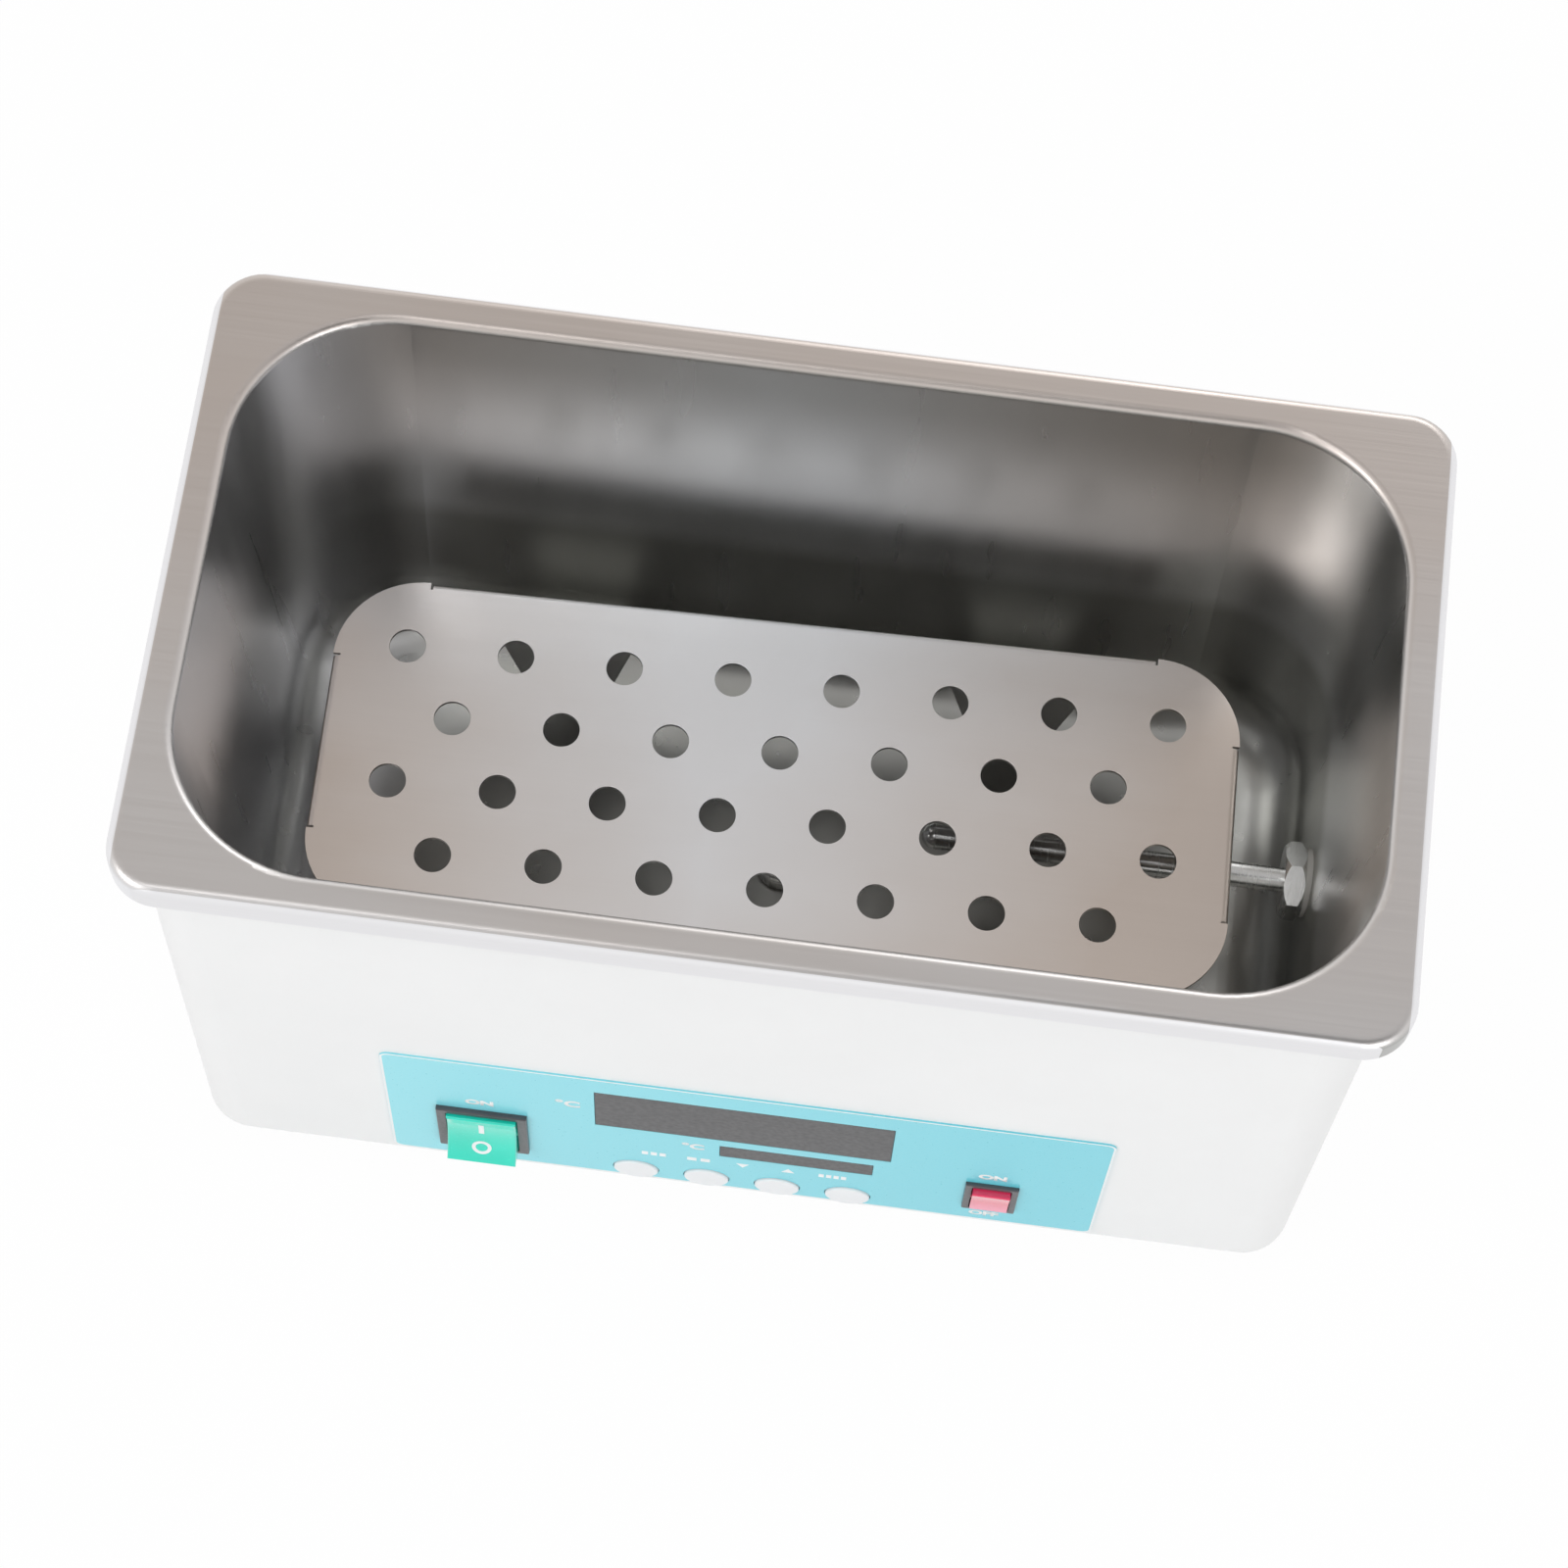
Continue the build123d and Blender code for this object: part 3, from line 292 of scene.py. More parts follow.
def softened(node, name, width, material, body="housing"):
    """A copy of a CAD node's mesh with its sharp edges rounded over, which stands for the node."""
    shape = bmesh.new()
    shape.from_mesh(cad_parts[node].data)
    bmesh.ops.remove_doubles(shape, verts=shape.verts, dist=doubles_apart)
    bmesh.ops.dissolve_limit(shape, angle_limit=flat_angle, verts=shape.verts,
                             edges=shape.edges)
    sharp = [edge for edge in shape.edges
             if edge.is_manifold and edge.calc_face_angle(0) > sharp_angle]
    bmesh.ops.bevel(shape, geom=sharp, offset=width, offset_type="OFFSET", affect="EDGES",
                    segments=3, profile=0.5, material=-1, clamp_overlap=True)
    return finished(shape, name, material, body, [node])


shelf_steel, shader = new_material("shelf_steel", metallic=1.0)
x, y, z = axes(shelf_steel)
brushing = noise(shelf_steel, (7, 1600, 1600), detail=5.0, roughness=0.65)
clouds = noise(shelf_steel, (16, 30, 16))
# Painted light: the plate is palest a little left of the middle and towards the back, with painted
# shade, darker and browner, towards its ends and front; the clouds add a random tone.
sideways = math_node(shelf_steel, "ABSOLUTE", math_node(shelf_steel, "SUBTRACT", x, painted_light_middle_x))
painted_shade_and_cloud_tone = math_node(shelf_steel, "ADD",
                   math_node(shelf_steel, "MULTIPLY", sideways, painted_shade_sideways),
                   math_node(shelf_steel, "MULTIPLY", y, painted_shade_frontward))
painted_shade_and_cloud_tone = math_node(shelf_steel, "ADD", painted_shade_and_cloud_tone,
                   math_node(shelf_steel, "MULTIPLY", clouds, cloudiness))
# Painted light: the lower legs and folded edges are the same steel, painted paler and made partly
# diffuse so that they look brightly lit.
on_leg_painted_light = spread(shelf_steel, z, 1, 0, leg_full, leg_start)
plate = two_tone(shelf_steel, painted_shade_and_cloud_tone, (0.85, 0.86, 0.88), (0.64, 0.565, 0.51), 0.20, 0.95)
feed(shelf_steel, shader, "Base Color",
     blend_colours(shelf_steel, on_leg_painted_light, plate, (0.84, 0.835, 0.82)))
feed(shelf_steel, shader, "Metallic", spread(shelf_steel, on_leg_painted_light, 1.0, 0.75, 0.0, 1.0))
feed(shelf_steel, shader, "Roughness", spread(shelf_steel, brushing, 0.30, 0.42))
feed(shelf_steel, shader, "Normal", bumped(shelf_steel, brushing, plate_brush_depth))
softened("shelf", "shelf_plate", plate_edge, shelf_steel, body="shelf")

# Probe and heater bolt
# A closed steel tube slides through a hexagon fitting, and a round-headed bolt holds the heater.
# Both are turned parts with fine rings, each sealed to the tank by a pale silicone washer.
turning_scale = (1500, 60, 60)
turning_depth = 0.008 * millimetre
fitting_edge = 0.3 * millimetre
washer_edge = 0.15 * millimetre
turned_steel, shader = new_material("turned_steel", metallic=1.0)
turning = noise(turned_steel, turning_scale, detail=4.0, roughness=0.6)
clouds = noise(turned_steel, 90, detail=2.0)
feed(turned_steel, shader, "Base Color",
     two_tone(turned_steel, clouds, (0.62, 0.62, 0.61), (0.74, 0.74, 0.73)))
feed(turned_steel, shader, "Roughness", spread(turned_steel, turning, 0.20, 0.30))
feed(turned_steel, shader, "Normal", bumped(turned_steel, turning, turning_depth))
for node in ("sensor_tube", "sensor_locknut", "heater_bolt"):
    dress(node, turned_steel)
softened("sensor_fitting", "probe_fitting", fitting_edge, turned_steel)


def moulded(name, first, second, rough=0.45, grain=1400, depth=0.01 * millimetre, **sockets):
    """A moulded plastic or rubber with a fine grain and a slight change of tone."""
    material, shader = new_material(name, roughness=rough, **sockets)
    pits = noise(material, grain)
    tone = noise(material, 60)
    feed(material, shader, "Base Color", two_tone(material, tone, first, second))
    feed(material, shader, "Roughness", spread(material, pits, rough - 0.06, rough + 0.06))
    feed(material, shader, "Normal", bumped(material, pits, depth))
    return material


pale_silicone = moulded("pale_silicone", (0.34, 0.33, 0.31), (0.42, 0.41, 0.38), rough=0.55,
                        grain=900)
softened("sensor_seal", "probe_washer", washer_edge, pale_silicone)
softened("heater_bolt_seal", "bolt_washer", washer_edge, pale_silicone)

# Casing
# Folded sheet, powder coated white all over, with the faint orange peel that such a coat has.
# A strip of black rubber seals it to the underside of the tank's deck.
peel_depth = 0.02 * millimetre
peel_strength = 0.6
powder_white, shader = new_material("powder_white", roughness=0.38, Coat_Weight=0.15,
                                    Coat_Roughness=0.2)
peel = noise(powder_white, 900, detail=2.0)
dust = noise(powder_white, 22)
feed(powder_white, shader, "Base Color",
     two_tone(powder_white, dust, (0.85, 0.85, 0.85), (0.87, 0.87, 0.87)))
feed(powder_white, shader, "Normal", bumped(powder_white, peel, peel_depth, peel_strength))
dress("outer_casing", powder_white)
black_rubber = moulded("black_rubber", (0.02, 0.02, 0.02), (0.045, 0.045, 0.045), rough=0.75,
                       grain=900, depth=0.04 * millimetre)
dress("rim_seal", black_rubber)

# Label
# A printed polyester film stuck to the casing, pale teal and a little deeper towards the right.
# Its white ink draws a thin edge line, plain words and the keys' signs.
label_low, label_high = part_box("front_label")
label_size = label_high - label_low
label_middle_z = (label_low.z + label_high.z) / 2
label_edge = 0.12 * millimetre
weave_depth = 0.006 * millimetre
palest_tint_x = -100 * millimetre
deepest_tint_x = 90 * millimetre
tint_waver = 0.03
ink_height = 0.05 * millimetre
border_width = 0.6 * millimetre
border_inset = 0.04 * millimetre
border_radius = 2.8 * millimetre
letter_height = 3.6 * millimetre
small_letter_height = 3.4 * millimetre
large_degree_height = 4.6 * millimetre
small_degree_height = 4.2 * millimetre
stroke_gain = 0.26 * millimetre
small_stroke_gain = 0.24 * millimetre
capital_share = 0.72
sign_width = 7.6 * millimetre
wide_sign_width = 8.4 * millimetre
arrow_width = 4.2 * millimetre
bar_height = 2.6 * millimetre
bar_share = 0.7

label_film, shader = new_material("label_film", roughness=0.32, Coat_Weight=0.2)
x, y, z = axes(label_film)
weave = noise(label_film, 1100)
tint = noise(label_film, 12, detail=2.0)
sideways = math_node(label_film, "ADD", x, math_node(label_film, "MULTIPLY", tint, tint_waver))
feed(label_film, shader, "Base Color",
     two_tone(label_film, sideways, (0.255, 0.75, 0.84), (0.15, 0.64, 0.75),
              palest_tint_x, deepest_tint_x))
feed(label_film, shader, "Roughness", spread(label_film, weave, 0.27, 0.37))
feed(label_film, shader, "Normal", bumped(label_film, weave, weave_depth))
softened("front_label", "panel_label", label_edge, label_film)
white_ink = moulded("white_ink", (0.86, 0.87, 0.87), (0.92, 0.92, 0.92), rough=0.4, grain=1800)


def rounded_sheet(shape, width, height, radius):
    """A flat rectangle with round corners, lying in XY about the origin."""
    grid = bmesh.ops.create_grid(shape, x_segments=1, y_segments=1, size=0.5)
    bmesh.ops.scale(shape, vec=(width, height, 1), verts=grid["verts"])
    bmesh.ops.bevel(shape, geom=grid["verts"], offset=radius, offset_type="OFFSET",
                    affect="VERTICES", segments=6, profile=0.5, material=-1)


def outlined(shape, width):
    """Leaves of a flat shape only a band of this width along its edge."""
    band = bmesh.ops.inset_region(shape, faces=shape.faces, thickness=width, use_boundary=True,
                                  use_even_offset=True)["faces"]
    inside = [face for face in shape.faces if face not in band]
    bmesh.ops.delete(shape, geom=inside, context="FACES")


def placed_print(shape, x, z):
    """Stands the flat print up on the label's face, at a place along it and a height."""
    spot = Matrix.Translation((x, label_low.y, z))
    upright = Matrix.Rotation(math.radians(90), 4, "X")
    bmesh.ops.transform(shape, matrix=spot @ upright, verts=shape.verts)


def thickened(shape, height):
    """Gives flat print its thickness, towards the front."""
    raised = bmesh.ops.extrude_face_region(shape, geom=list(shape.faces))
    top = [item for item in raised["geom"] if isinstance(item, bmesh.types.BMVert)]
    bmesh.ops.translate(shape, vec=(0, -height, 0), verts=top)
    bmesh.ops.recalc_face_normals(shape, faces=shape.faces)


def words(text, height, gain=stroke_gain):
    """Plain printed capitals as a flat shape, their strokes fattened by the gain."""
    curve = bpy.data.curves.new("words", "FONT")
    curve.body = text
    curve.size = height / capital_share
    curve.offset = gain
    curve.align_x = "CENTER"
    curve.align_y = "CENTER"
    holder = bpy.data.objects.new("words", curve)
    mesh = bpy.data.meshes.new_from_object(holder)
    shape = bmesh.new()
    shape.from_mesh(mesh)
    bmesh.ops.remove_doubles(shape, verts=shape.verts, dist=0.001 * millimetre)
    bpy.data.objects.remove(holder)
    bpy.data.meshes.remove(mesh)
    bpy.data.curves.remove(curve)
    return shape


def bars(width, count):
    """A row of short upright bars, as the keys' printed signs have."""
    shape = bmesh.new()
    step = width / count
    size = Matrix.Diagonal((step * bar_share, bar_height, 1, 1))
    for i in range(count):
        spot = Matrix.Translation(((i - (count - 1) / 2) * step, 0, 0))
        bmesh.ops.create_grid(shape, x_segments=1, y_segments=1, size=0.5, matrix=spot @ size)
    return shape


def arrow(width, up):
    """A small solid triangle that points up or down."""
    shape = bmesh.new()
    turn = Matrix.Rotation(math.radians(0 if up else 180), 4, "Z")
    bmesh.ops.create_circle(shape, cap_ends=True, segments=3, radius=width / 2, matrix=turn)
    return shape


border = bmesh.new()
rounded_sheet(border, label_size.x - 2 * border_inset, label_size.z - 2 * border_inset,
              border_radius)
outlined(border, border_width)
placed_print(border, 0, label_middle_z)
thickened(border, ink_height)
finished(border, "label_border", white_ink, smooth=False)

# Each print with its place along the label and its height, in millimetres.
prints = [("on_mark_power", words("ON", letter_height), -74.0, 63.0),
          ("degree_mark_large", words("°C", large_degree_height), -49.3, 72.0),
          ("degree_mark_small", words("°C", small_degree_height), -14.4, 48.4),
          ("key_sign_1", bars(sign_width, 3), -25.4, 37.4),
          ("key_sign_2", bars(sign_width, 2), -12.7, 37.3),
          ("key_sign_3", arrow(arrow_width, up=False), -0.2, 37.3),
          ("key_sign_4", arrow(arrow_width, up=True), 12.7, 36.9),
          ("key_sign_5", bars(wide_sign_width, 4), 25.3, 37.0),
          ("on_mark_aux", words("ON", letter_height), 69.6, 54.4),
          ("off_mark_aux", words("OFF", small_letter_height, small_stroke_gain), 69.2, 21.2)]
for name, shape, place, height in prints:
    placed_print(shape, place * millimetre, height * millimetre)
    thickened(shape, ink_height)
    finished(shape, name, white_ink, smooth=False)

# Displays
# Two smoked acrylic panes, glued into the label's openings so that they sit flush with it.
# They are dark and blank while the bath is off.
pane_edge = 0.2 * millimetre
smoked = moulded("smoked_pane", (0.030, 0.029, 0.032), (0.036, 0.035, 0.038), rough=0.34,
                 grain=700, depth=0.001 * millimetre)
softened("large_window", "large_pane", pane_edge, smoked)
softened("small_window", "small_pane", pane_edge, smoked)

# Push buttons
# Four round white caps, moulded with a soft edge, standing a little proud of the label.
# Each slides in its hole and rests on the key switch behind it.
button_white = moulded("button_white", (0.84, 0.84, 0.86), (0.88, 0.88, 0.89), rough=0.4)
for number in range(1, 5):
    dress("button_%d" % number, button_white)

# Rocker switches
# Black snap-in bodies with a bezel; the large rocker is a green one with a faint painted glow,
# printed with a bar and a ring, and the small one is of clear red plastic, pinker towards the
# bottom.
large_bezel_edge = 0.2 * millimetre
small_bezel_edge = 0.15 * millimetre
switch_black = moulded("switch_black", (0.055, 0.055, 0.062), (0.085, 0.085, 0.094), rough=0.36)
softened("power_switch_body", "power_bezel", large_bezel_edge, switch_black)
softened("aux_switch_body", "aux_bezel", small_bezel_edge, switch_black)
# Painted glow: the green rocker has a faint emission, though the bath is off.
green_with_painted_glow = moulded("green_with_painted_glow", (0.008, 0.62, 0.46), (0.014, 0.70, 0.53), rough=0.22,
                    Coat_Weight=0.5, Emission_Color=(0.0, 0.60, 0.45, 1), Emission_Strength=0.12)
dress("power_rocker", green_with_painted_glow)

clear_red, shader = new_material("clear_red", roughness=0.22, Coat_Weight=0.5)
red_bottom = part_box("aux_rocker")[0].z
pink_top = red_bottom + 3 * millimetre
deep_red_start = red_bottom + 9.5 * millimetre
red_waver_reach = 2 * millimetre
red_waver_depth = 0.02 * millimetre
x, y, z = axes(clear_red)
red_waver = noise(clear_red, 200)
level = math_node(clear_red, "ADD", z, math_node(clear_red, "MULTIPLY", red_waver, red_waver_reach))
# The red is pinker towards the bottom, with the edge of the change wavered by noise.
feed(clear_red, shader, "Base Color",
     two_tone(clear_red, level, (0.90, 0.28, 0.40), (0.80, 0.04, 0.12), pink_top,
              deep_red_start))
feed(clear_red, shader, "Normal", bumped(clear_red, red_waver, red_waver_depth))
dress("aux_rocker", clear_red)

rocker_low, rocker_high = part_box("power_rocker")
rocker_x = (rocker_low.x + rocker_high.x) / 2
rocker_z = (rocker_low.z + rocker_high.z) / 2
bar_size = (1.5 * millimetre, 6.4 * millimetre, 1, 1)
bar_above = 5.6 * millimetre
ring_below = -5.0 * millimetre
ring_radius = 2.8 * millimetre
ring_stroke = 1.05 * millimetre
rocker_ink_height = 0.06 * millimetre
clear_of_rocker = 10 * millimetre
cap = BVHTree.FromObject(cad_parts["power_rocker"], bpy.context.evaluated_depsgraph_get())
bar_sign = bmesh.new()
bmesh.ops.create_grid(bar_sign, x_segments=1, y_segments=6, size=0.5,
                      matrix=Matrix.Diagonal(bar_size))
ring_sign = bmesh.new()
bmesh.ops.create_circle(ring_sign, cap_ends=True, segments=40, radius=ring_radius)
outlined(ring_sign, ring_stroke)
for name, shape, height in (("rocker_bar", bar_sign, bar_above),
                            ("rocker_ring", ring_sign, ring_below)):
    placed_print(shape, rocker_x, rocker_z + height)
    for corner in shape.verts:
        start = Vector((corner.co.x, rocker_low.y - clear_of_rocker, corner.co.z))
        corner.co.y = cap.ray_cast(start, Vector((0, 1, 0)))[0].y
    thickened(shape, rocker_ink_height)
    finished(shape, name, white_ink, body="power_rocker")

# Metal fixings and plates
# Zinc-plated steel screws, nuts and base plate, and tinned brass blades and tabs.
# The screw heads have cross recesses, punched after the heads were formed.
inlet_screw_inset = 2.8 * millimetre
inlet_recess = (1.6 * millimetre, 1.2 * millimetre)
base_recess = (1.7 * millimetre, 1.2 * millimetre)
foot_recess = (2.2 * millimetre, 1.6 * millimetre)
base_screw_x, base_screw_y = 148.5 * millimetre, 41.0 * millimetre
middle_screw_y = 74.0 * millimetre
foot_x, foot_y = 128.0 * millimetre, 54.0 * millimetre
plating_depth = 0.01 * millimetre
sheet_edge = 0.25 * millimetre
nut_edge = 0.3 * millimetre
blade_edge = 0.4 * millimetre
inlet_head_edge = 0.2 * millimetre
base_head_edge = 0.4 * millimetre
foot_head_edge = 0.5 * millimetre
slot_width_share = 0.38
slot_taper = 0.7


def plated(name, first, second):
    """Zinc or tin plating: a metal with a cloudy change of colour and fine marks."""
    material, shader = new_material(name, metallic=1.0)
    lines = noise(material, (400, 400, 900), detail=5.0, roughness=0.65)
    broad = noise(material, 90)
    feed(material, shader, "Base Color", two_tone(material, broad, first, second))
    feed(material, shader, "Roughness", spread(material, lines, 0.25, 0.4))
    feed(material, shader, "Normal", bumped(material, lines, plating_depth))
    return material


def cross_cut(piece, places, outward, recess):
    """Cuts a tapering cross into each screw head; the places are the middles of their faces."""
    radius, depth = recess
    facing = Vector(outward).to_track_quat("Z", "Y").to_matrix().to_4x4()
    for turn in (45, 135):
        shape = bmesh.new()
        for place in places:
            bar = bmesh.ops.create_cube(shape, size=1.0)["verts"]
            bmesh.ops.scale(shape, vec=(2 * radius, slot_width_share * radius, 2 * depth),
                            verts=bar)
            tip = [corner for corner in bar if corner.co.z < 0]
            bmesh.ops.scale(shape, vec=(slot_taper, slot_taper, 1), verts=tip)
            spin = Matrix.Rotation(math.radians(turn), 4, "Z")
            bmesh.ops.transform(shape, matrix=Matrix.Translation(place) @ facing @ spin,
                                verts=bar)
        mesh = bpy.data.meshes.new("cutter")
        shape.to_mesh(mesh)
        shape.free()
        cutter = bpy.data.objects.new("cutter", mesh)
        bpy.context.collection.objects.link(cutter)
        cut = piece.modifiers.new("recess", "BOOLEAN")
        cut.operation = "DIFFERENCE"
        cut.solver = "EXACT"
        cut.object = cutter
        depsgraph = bpy.context.evaluated_depsgraph_get()
        made = bpy.data.meshes.new_from_object(piece.evaluated_get(depsgraph))
        piece.modifiers.remove(cut)
        piece.data = made
        bpy.data.objects.remove(cutter)
        bpy.data.meshes.remove(mesh)


zinc = plated("zinc", (0.60, 0.62, 0.65), (0.72, 0.72, 0.70))
tinned_brass = plated("tinned_brass", (0.72, 0.66, 0.48), (0.80, 0.77, 0.66))
mill_aluminium = plated("mill_aluminium", (0.72, 0.73, 0.74), (0.82, 0.82, 0.83))
softened("base_plate", "base_sheet", sheet_edge, zinc)
softened("tie_nuts", "tie_nut_set", nut_edge, zinc)
softened("inlet_blades", "inlet_pins", blade_edge, tinned_brass)

inlet_low, inlet_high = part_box("inlet_screws")
inlet_z = (inlet_low.z + inlet_high.z) / 2
inlet_heads = softened("inlet_screws", "inlet_screw_set", inlet_head_edge, zinc)
inlet_ends = (inlet_low.x + inlet_screw_inset, inlet_high.x - inlet_screw_inset)
cross_cut(inlet_heads, [(end, inlet_high.y, inlet_z) for end in inlet_ends], (0, 1, 0),
          inlet_recess)
base_heads = softened("base_screws", "base_screw_set", base_head_edge, zinc)
base_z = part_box("base_screws")[0].z
base_places = [(side * base_screw_x, middle_y + end * base_screw_y, base_z)
               for side in (-1, 1) for end in (-1, 1)]
base_places += [(0, middle_y + end * middle_screw_y, base_z) for end in (-1, 1)]
cross_cut(base_heads, base_places, (0, 0, -1), base_recess)
foot_heads = softened("foot_screws", "foot_screw_set", foot_head_edge, zinc)
foot_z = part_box("foot_screws")[0].z
foot_places = [(side * foot_x, middle_y + end * foot_y, foot_z)
               for side in (-1, 1) for end in (-1, 1)]
cross_cut(foot_heads, foot_places, (0, 0, -1), foot_recess)

# Feet
# Four turned-down rubber feet with a recess for their screws, matt and a little dusty.
# They are screwed to the base plate from below.
foot_edge = 0.7 * millimetre
softened("rubber_feet", "foot_set", foot_edge, black_rubber)

# Mains inlet
# A black moulded socket, screwed to the casing's back by its flange, with its blades inside.
# Below the blades is the small drawer that holds the fuse.
inlet_edge = 0.4 * millimetre
drawer_edge = 0.25 * millimetre
black_plastic = moulded("black_plastic", (0.03, 0.03, 0.034), (0.05, 0.05, 0.054), rough=0.42)
softened("mains_inlet", "inlet_moulding", inlet_edge, black_plastic)
softened("fuse_drawer", "drawer_moulding", drawer_edge, black_plastic,
         body="fuse_drawer")

# Inside parts
# The heater clamped under the floor, the blankets, both boards on their pillars with what is
# soldered to them, and the leads. None of it shows while the casing is closed.
red_silicone = moulded("red_silicone", (0.45, 0.10, 0.06), (0.56, 0.14, 0.09), rough=0.6,
                       depth=0.03 * millimetre)
felt = moulded("felt", (0.62, 0.60, 0.54), (0.80, 0.78, 0.72), rough=0.9, grain=500,
               depth=0.4 * millimetre)
board_green = moulded("board_green", (0.02, 0.16, 0.06), (0.03, 0.24, 0.10), rough=0.3,
                      grain=700)
relay_blue = moulded("relay_blue", (0.05, 0.14, 0.40), (0.07, 0.18, 0.48), rough=0.35)
terminal_green = moulded("terminal_green", (0.10, 0.36, 0.16), (0.14, 0.44, 0.20), rough=0.4)
lead_grey = moulded("lead_grey", (0.36, 0.37, 0.39), (0.46, 0.47, 0.49), rough=0.5)
varnished_core = moulded("varnished_core", (0.16, 0.14, 0.13), (0.26, 0.24, 0.22), rough=0.4,
                         grain=300)
fuse_glass = moulded("fuse_glass", (0.80, 0.84, 0.84), (0.88, 0.90, 0.90), rough=0.1)
inside_finishes = {
    red_silicone: ("heater_pad",),
    mill_aluminium: ("heater_plate", "triac_heat_sink"),
    felt: ("floor_insulation", "wall_insulation"),
    black_plastic: ("thermal_cutout", "large_display_module", "small_display_module",
                    "key_switches", "capacitors"),
    zinc: ("heater_bolt_nut", "tie_studs", "display_pillars", "display_board_screws",
           "power_pillars", "power_board_screws", "earth_stud"),
    tinned_brass: ("power_switch_tabs", "aux_switch_tabs"),
    board_green: ("display_board", "power_board"),
    relay_blue: ("relay",),
    terminal_green: ("terminal_block",),
    lead_grey: ("display_ribbon", "sensor_lead", "mains_leads"),
    varnished_core: ("transformer",),
    fuse_glass: ("fuse",),
}
for material, nodes in inside_finishes.items():
    for node in nodes:
        dress(node, material)

# Studio
# A pale floor and surround, with a warm grey ceiling that the bright steel mirrors and that is
# darker towards the front. Five square soft lamps light it: a key from the left, a fill from
# the right, one over the front edge, one overhead and one behind.
floor_half_size = 6.0
floor_glow = 0.97
surround_strength = 0.6
paler_to_right = 1.1
paler_to_front = -1.0
ceiling_edge = (0.42, 0.80)
ceiling_tone = (-0.75, -0.2)
front_part = (-0.42, -0.12)
dark_part = (-0.14, 0.06)


def seen_directly(material):
    """1 for camera, glossy and transmission rays and 0 for the light that falls on surfaces."""
    ray = new_node(material, "ShaderNodeLightPath").outputs
    seen = math_node(material, "MAXIMUM", ray["Is Camera Ray"], ray["Is Glossy Ray"])
    return math_node(material, "MAXIMUM", seen, ray["Is Transmission Ray"])


def softbox(name, place, aim, size, power):
    """A square area light that faces its aim."""
    data = bpy.data.lights.new(name, "AREA")
    data.shape = "SQUARE"
    data.size = size
    data.energy = power
    lamp = bpy.data.objects.new(name, data)
    bpy.context.collection.objects.link(lamp)
    lamp.location = place
    lamp.rotation_euler = (Vector(aim) - Vector(place)).to_track_quat("-Z", "Y").to_euler()


floor_white, shader = new_material("floor_white", roughness=0.8, Base_Color=(0.9, 0.9, 0.9, 1))
blend = new_node(floor_white, "ShaderNodeMixShader")
glowing = math_node(floor_white, "MULTIPLY", seen_directly(floor_white), floor_glow)
feed(floor_white, blend, 0, glowing)
feed(floor_white, blend, 1, shader.outputs[0])
feed(floor_white, blend, 2, new_node(floor_white, "ShaderNodeEmission").outputs[0])
feed(floor_white, floor_white.node_tree.nodes["Material Output"], "Surface", blend.outputs[0])
floor_mesh = bpy.data.meshes.new("floor")
floor = bpy.data.objects.new("floor", floor_mesh)
bpy.context.collection.objects.link(floor)
grid = bmesh.new()
bmesh.ops.create_grid(grid, x_segments=1, y_segments=1, size=floor_half_size)
grid.to_mesh(floor_mesh)
grid.free()
floor_mesh.materials.append(floor_white)

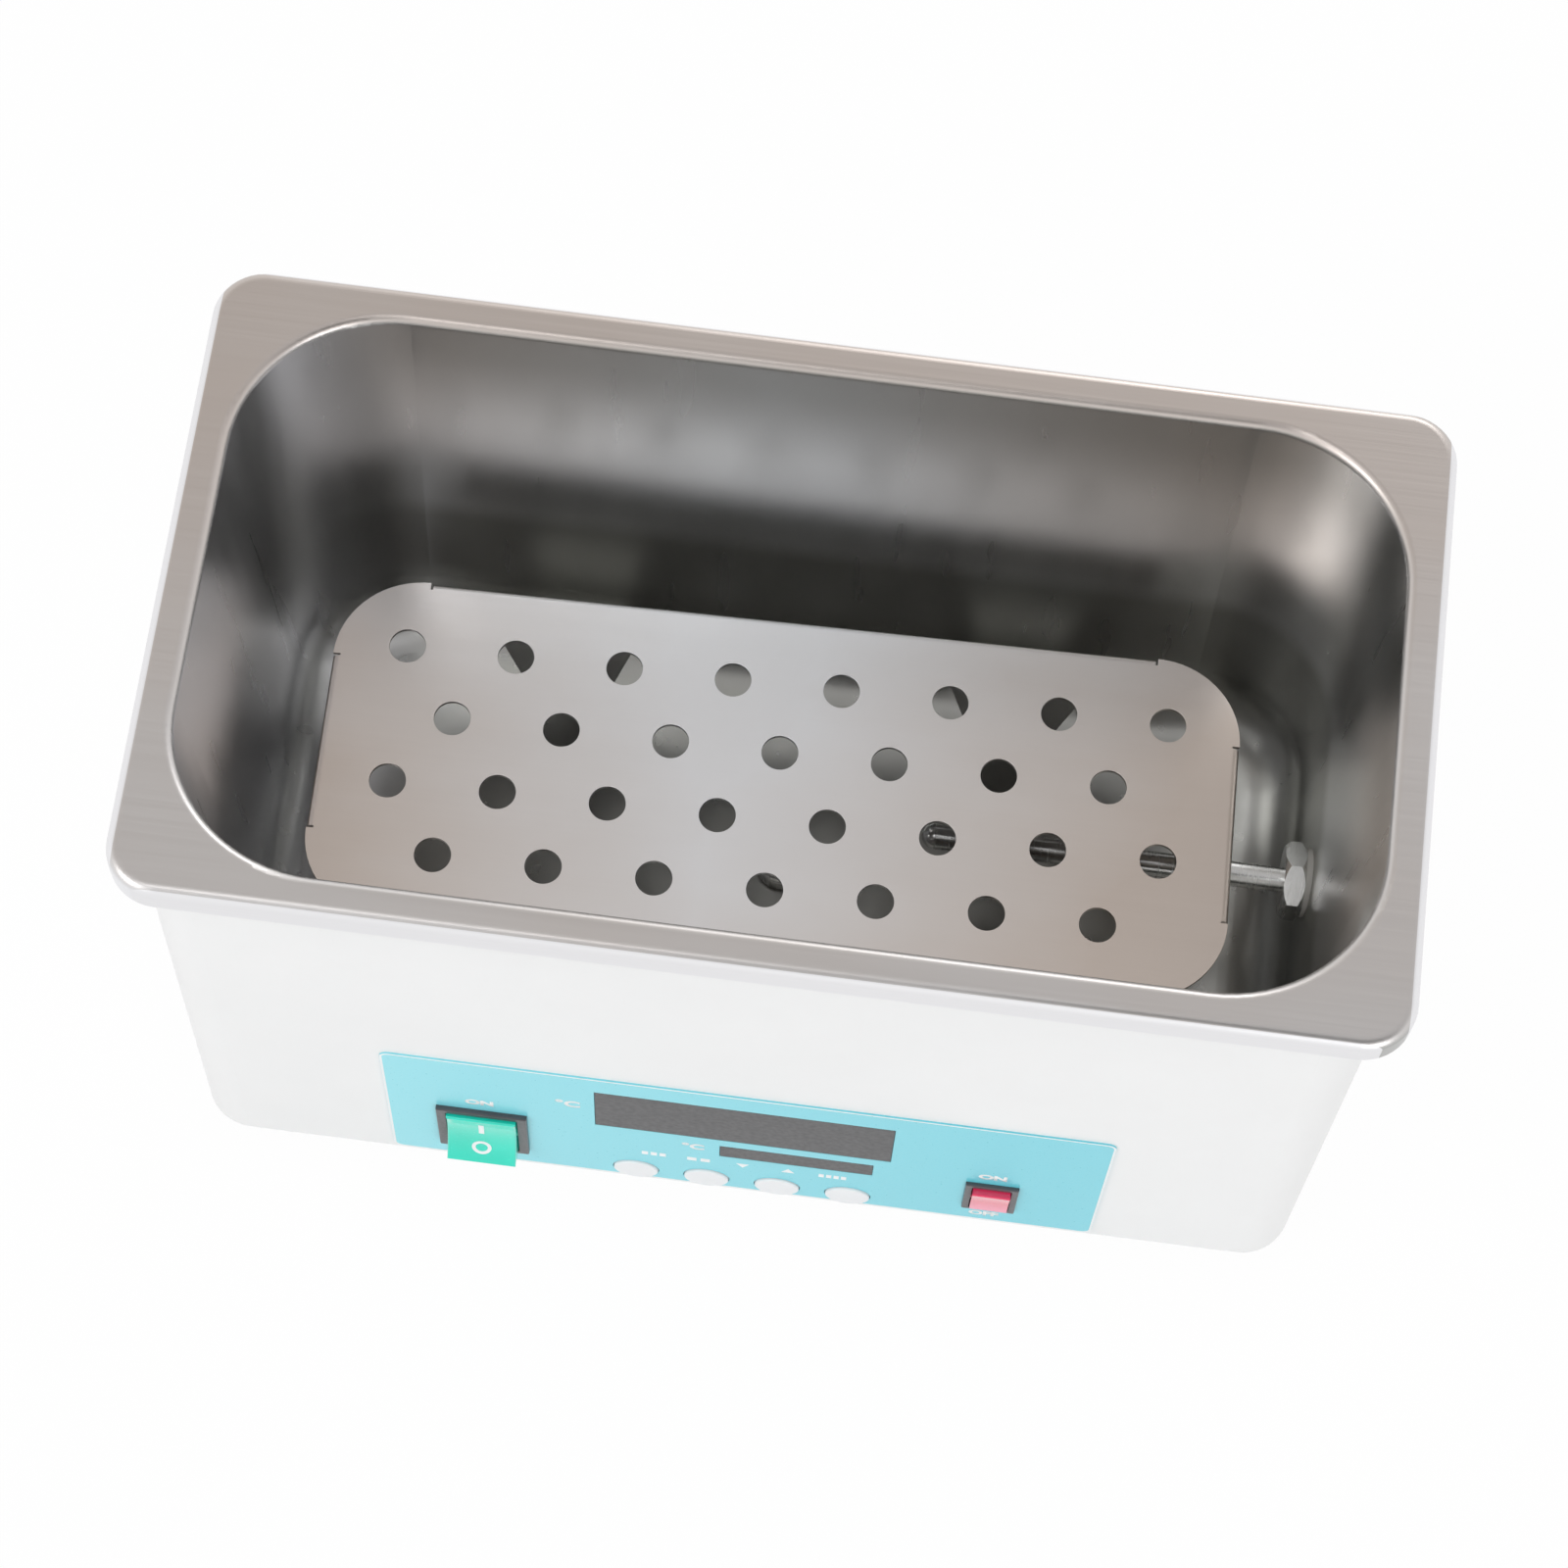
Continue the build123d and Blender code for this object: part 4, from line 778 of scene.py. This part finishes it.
studio = bpy.data.worlds.new("studio")
bpy.context.scene.world = studio
studio.use_nodes = True
surround = studio.node_tree.nodes["Background"]
surround.inputs["Color"].default_value = (1, 1, 1, 1)
surround.inputs["Strength"].default_value = surround_strength
split = new_node(studio, "ShaderNodeSeparateXYZ")
feed(studio, split, 0, new_node(studio, "ShaderNodeTexCoord").outputs["Generated"])
x, y, z = split.outputs
rightward = math_node(studio, "ADD", math_node(studio, "MULTIPLY", x, paler_to_right),
                      math_node(studio, "MULTIPLY", y, paler_to_front))
ceiling = two_tone(studio, rightward, (0.655, 0.625, 0.60), (0.66, 0.65, 0.65), *ceiling_tone)
to_front_right = spread(studio, x, 0, 1, *dark_part, smooth=True)
front_ceiling = blend_colours(studio, to_front_right, (0.46, 0.46, 0.48), (0.03, 0.03, 0.03))
towards_front = spread(studio, y, 1, 0, *front_part, smooth=True)
ceiling = blend_colours(studio, towards_front, ceiling, front_ceiling)
above = spread(studio, z, 0, 1, *ceiling_edge, smooth=True)
shown = new_node(studio, "ShaderNodeBackground")
feed(studio, shown, "Color", blend_colours(studio, above, (1.0, 1.0, 1.0), ceiling))
mix = new_node(studio, "ShaderNodeMixShader")
feed(studio, mix, 0, seen_directly(studio))
feed(studio, mix, 1, surround.outputs[0])
feed(studio, mix, 2, shown.outputs[0])
feed(studio, studio.node_tree.nodes["World Output"], "Surface", mix.outputs[0])

# Each lamp with its place, its aim, its size in metres and its power in watts.
softbox("key", (-1.3, -1.0, 1.3), (0, 0, 0.12), 1.0, 10)
softbox("fill", (1.1, -1.6, 0.6), (0, 0, 0.1), 1.0, 7.5)
softbox("front_edge", (-0.25, -1.3, 1.9), (0, 0, 0.15), 0.5, 0.6)
softbox("overhead", (-0.30, -0.42, 1.55), (0, 0, 0.15), 0.4, 1.4)
softbox("back_edge", (0.35, 1.5, 1.0), (0, 0, 0.2), 0.8, 5)

# Camera
# It stands above and in front of the bath and looks steeply down into it, through a long lens.
# Its place, turn and lens were fitted to the photograph together with the bath's sizes.
camera_place = Vector((25.06, -448.85, 1188.06)) * millimetre
camera_turn = Euler([math.radians(angle) for angle in (22.799, -1.593, 7.104)])
camera_data = bpy.data.cameras.new("camera")
camera_data.lens = 98.13
camera_data.sensor_width = 36.0
camera_data.clip_start = 10 * millimetre
camera = bpy.data.objects.new("camera", camera_data)
bpy.context.collection.objects.link(camera)
camera.location = camera_place
camera.rotation_euler = camera_turn
bpy.context.scene.camera = camera
bpy.context.scene.view_settings.view_transform = "Standard"
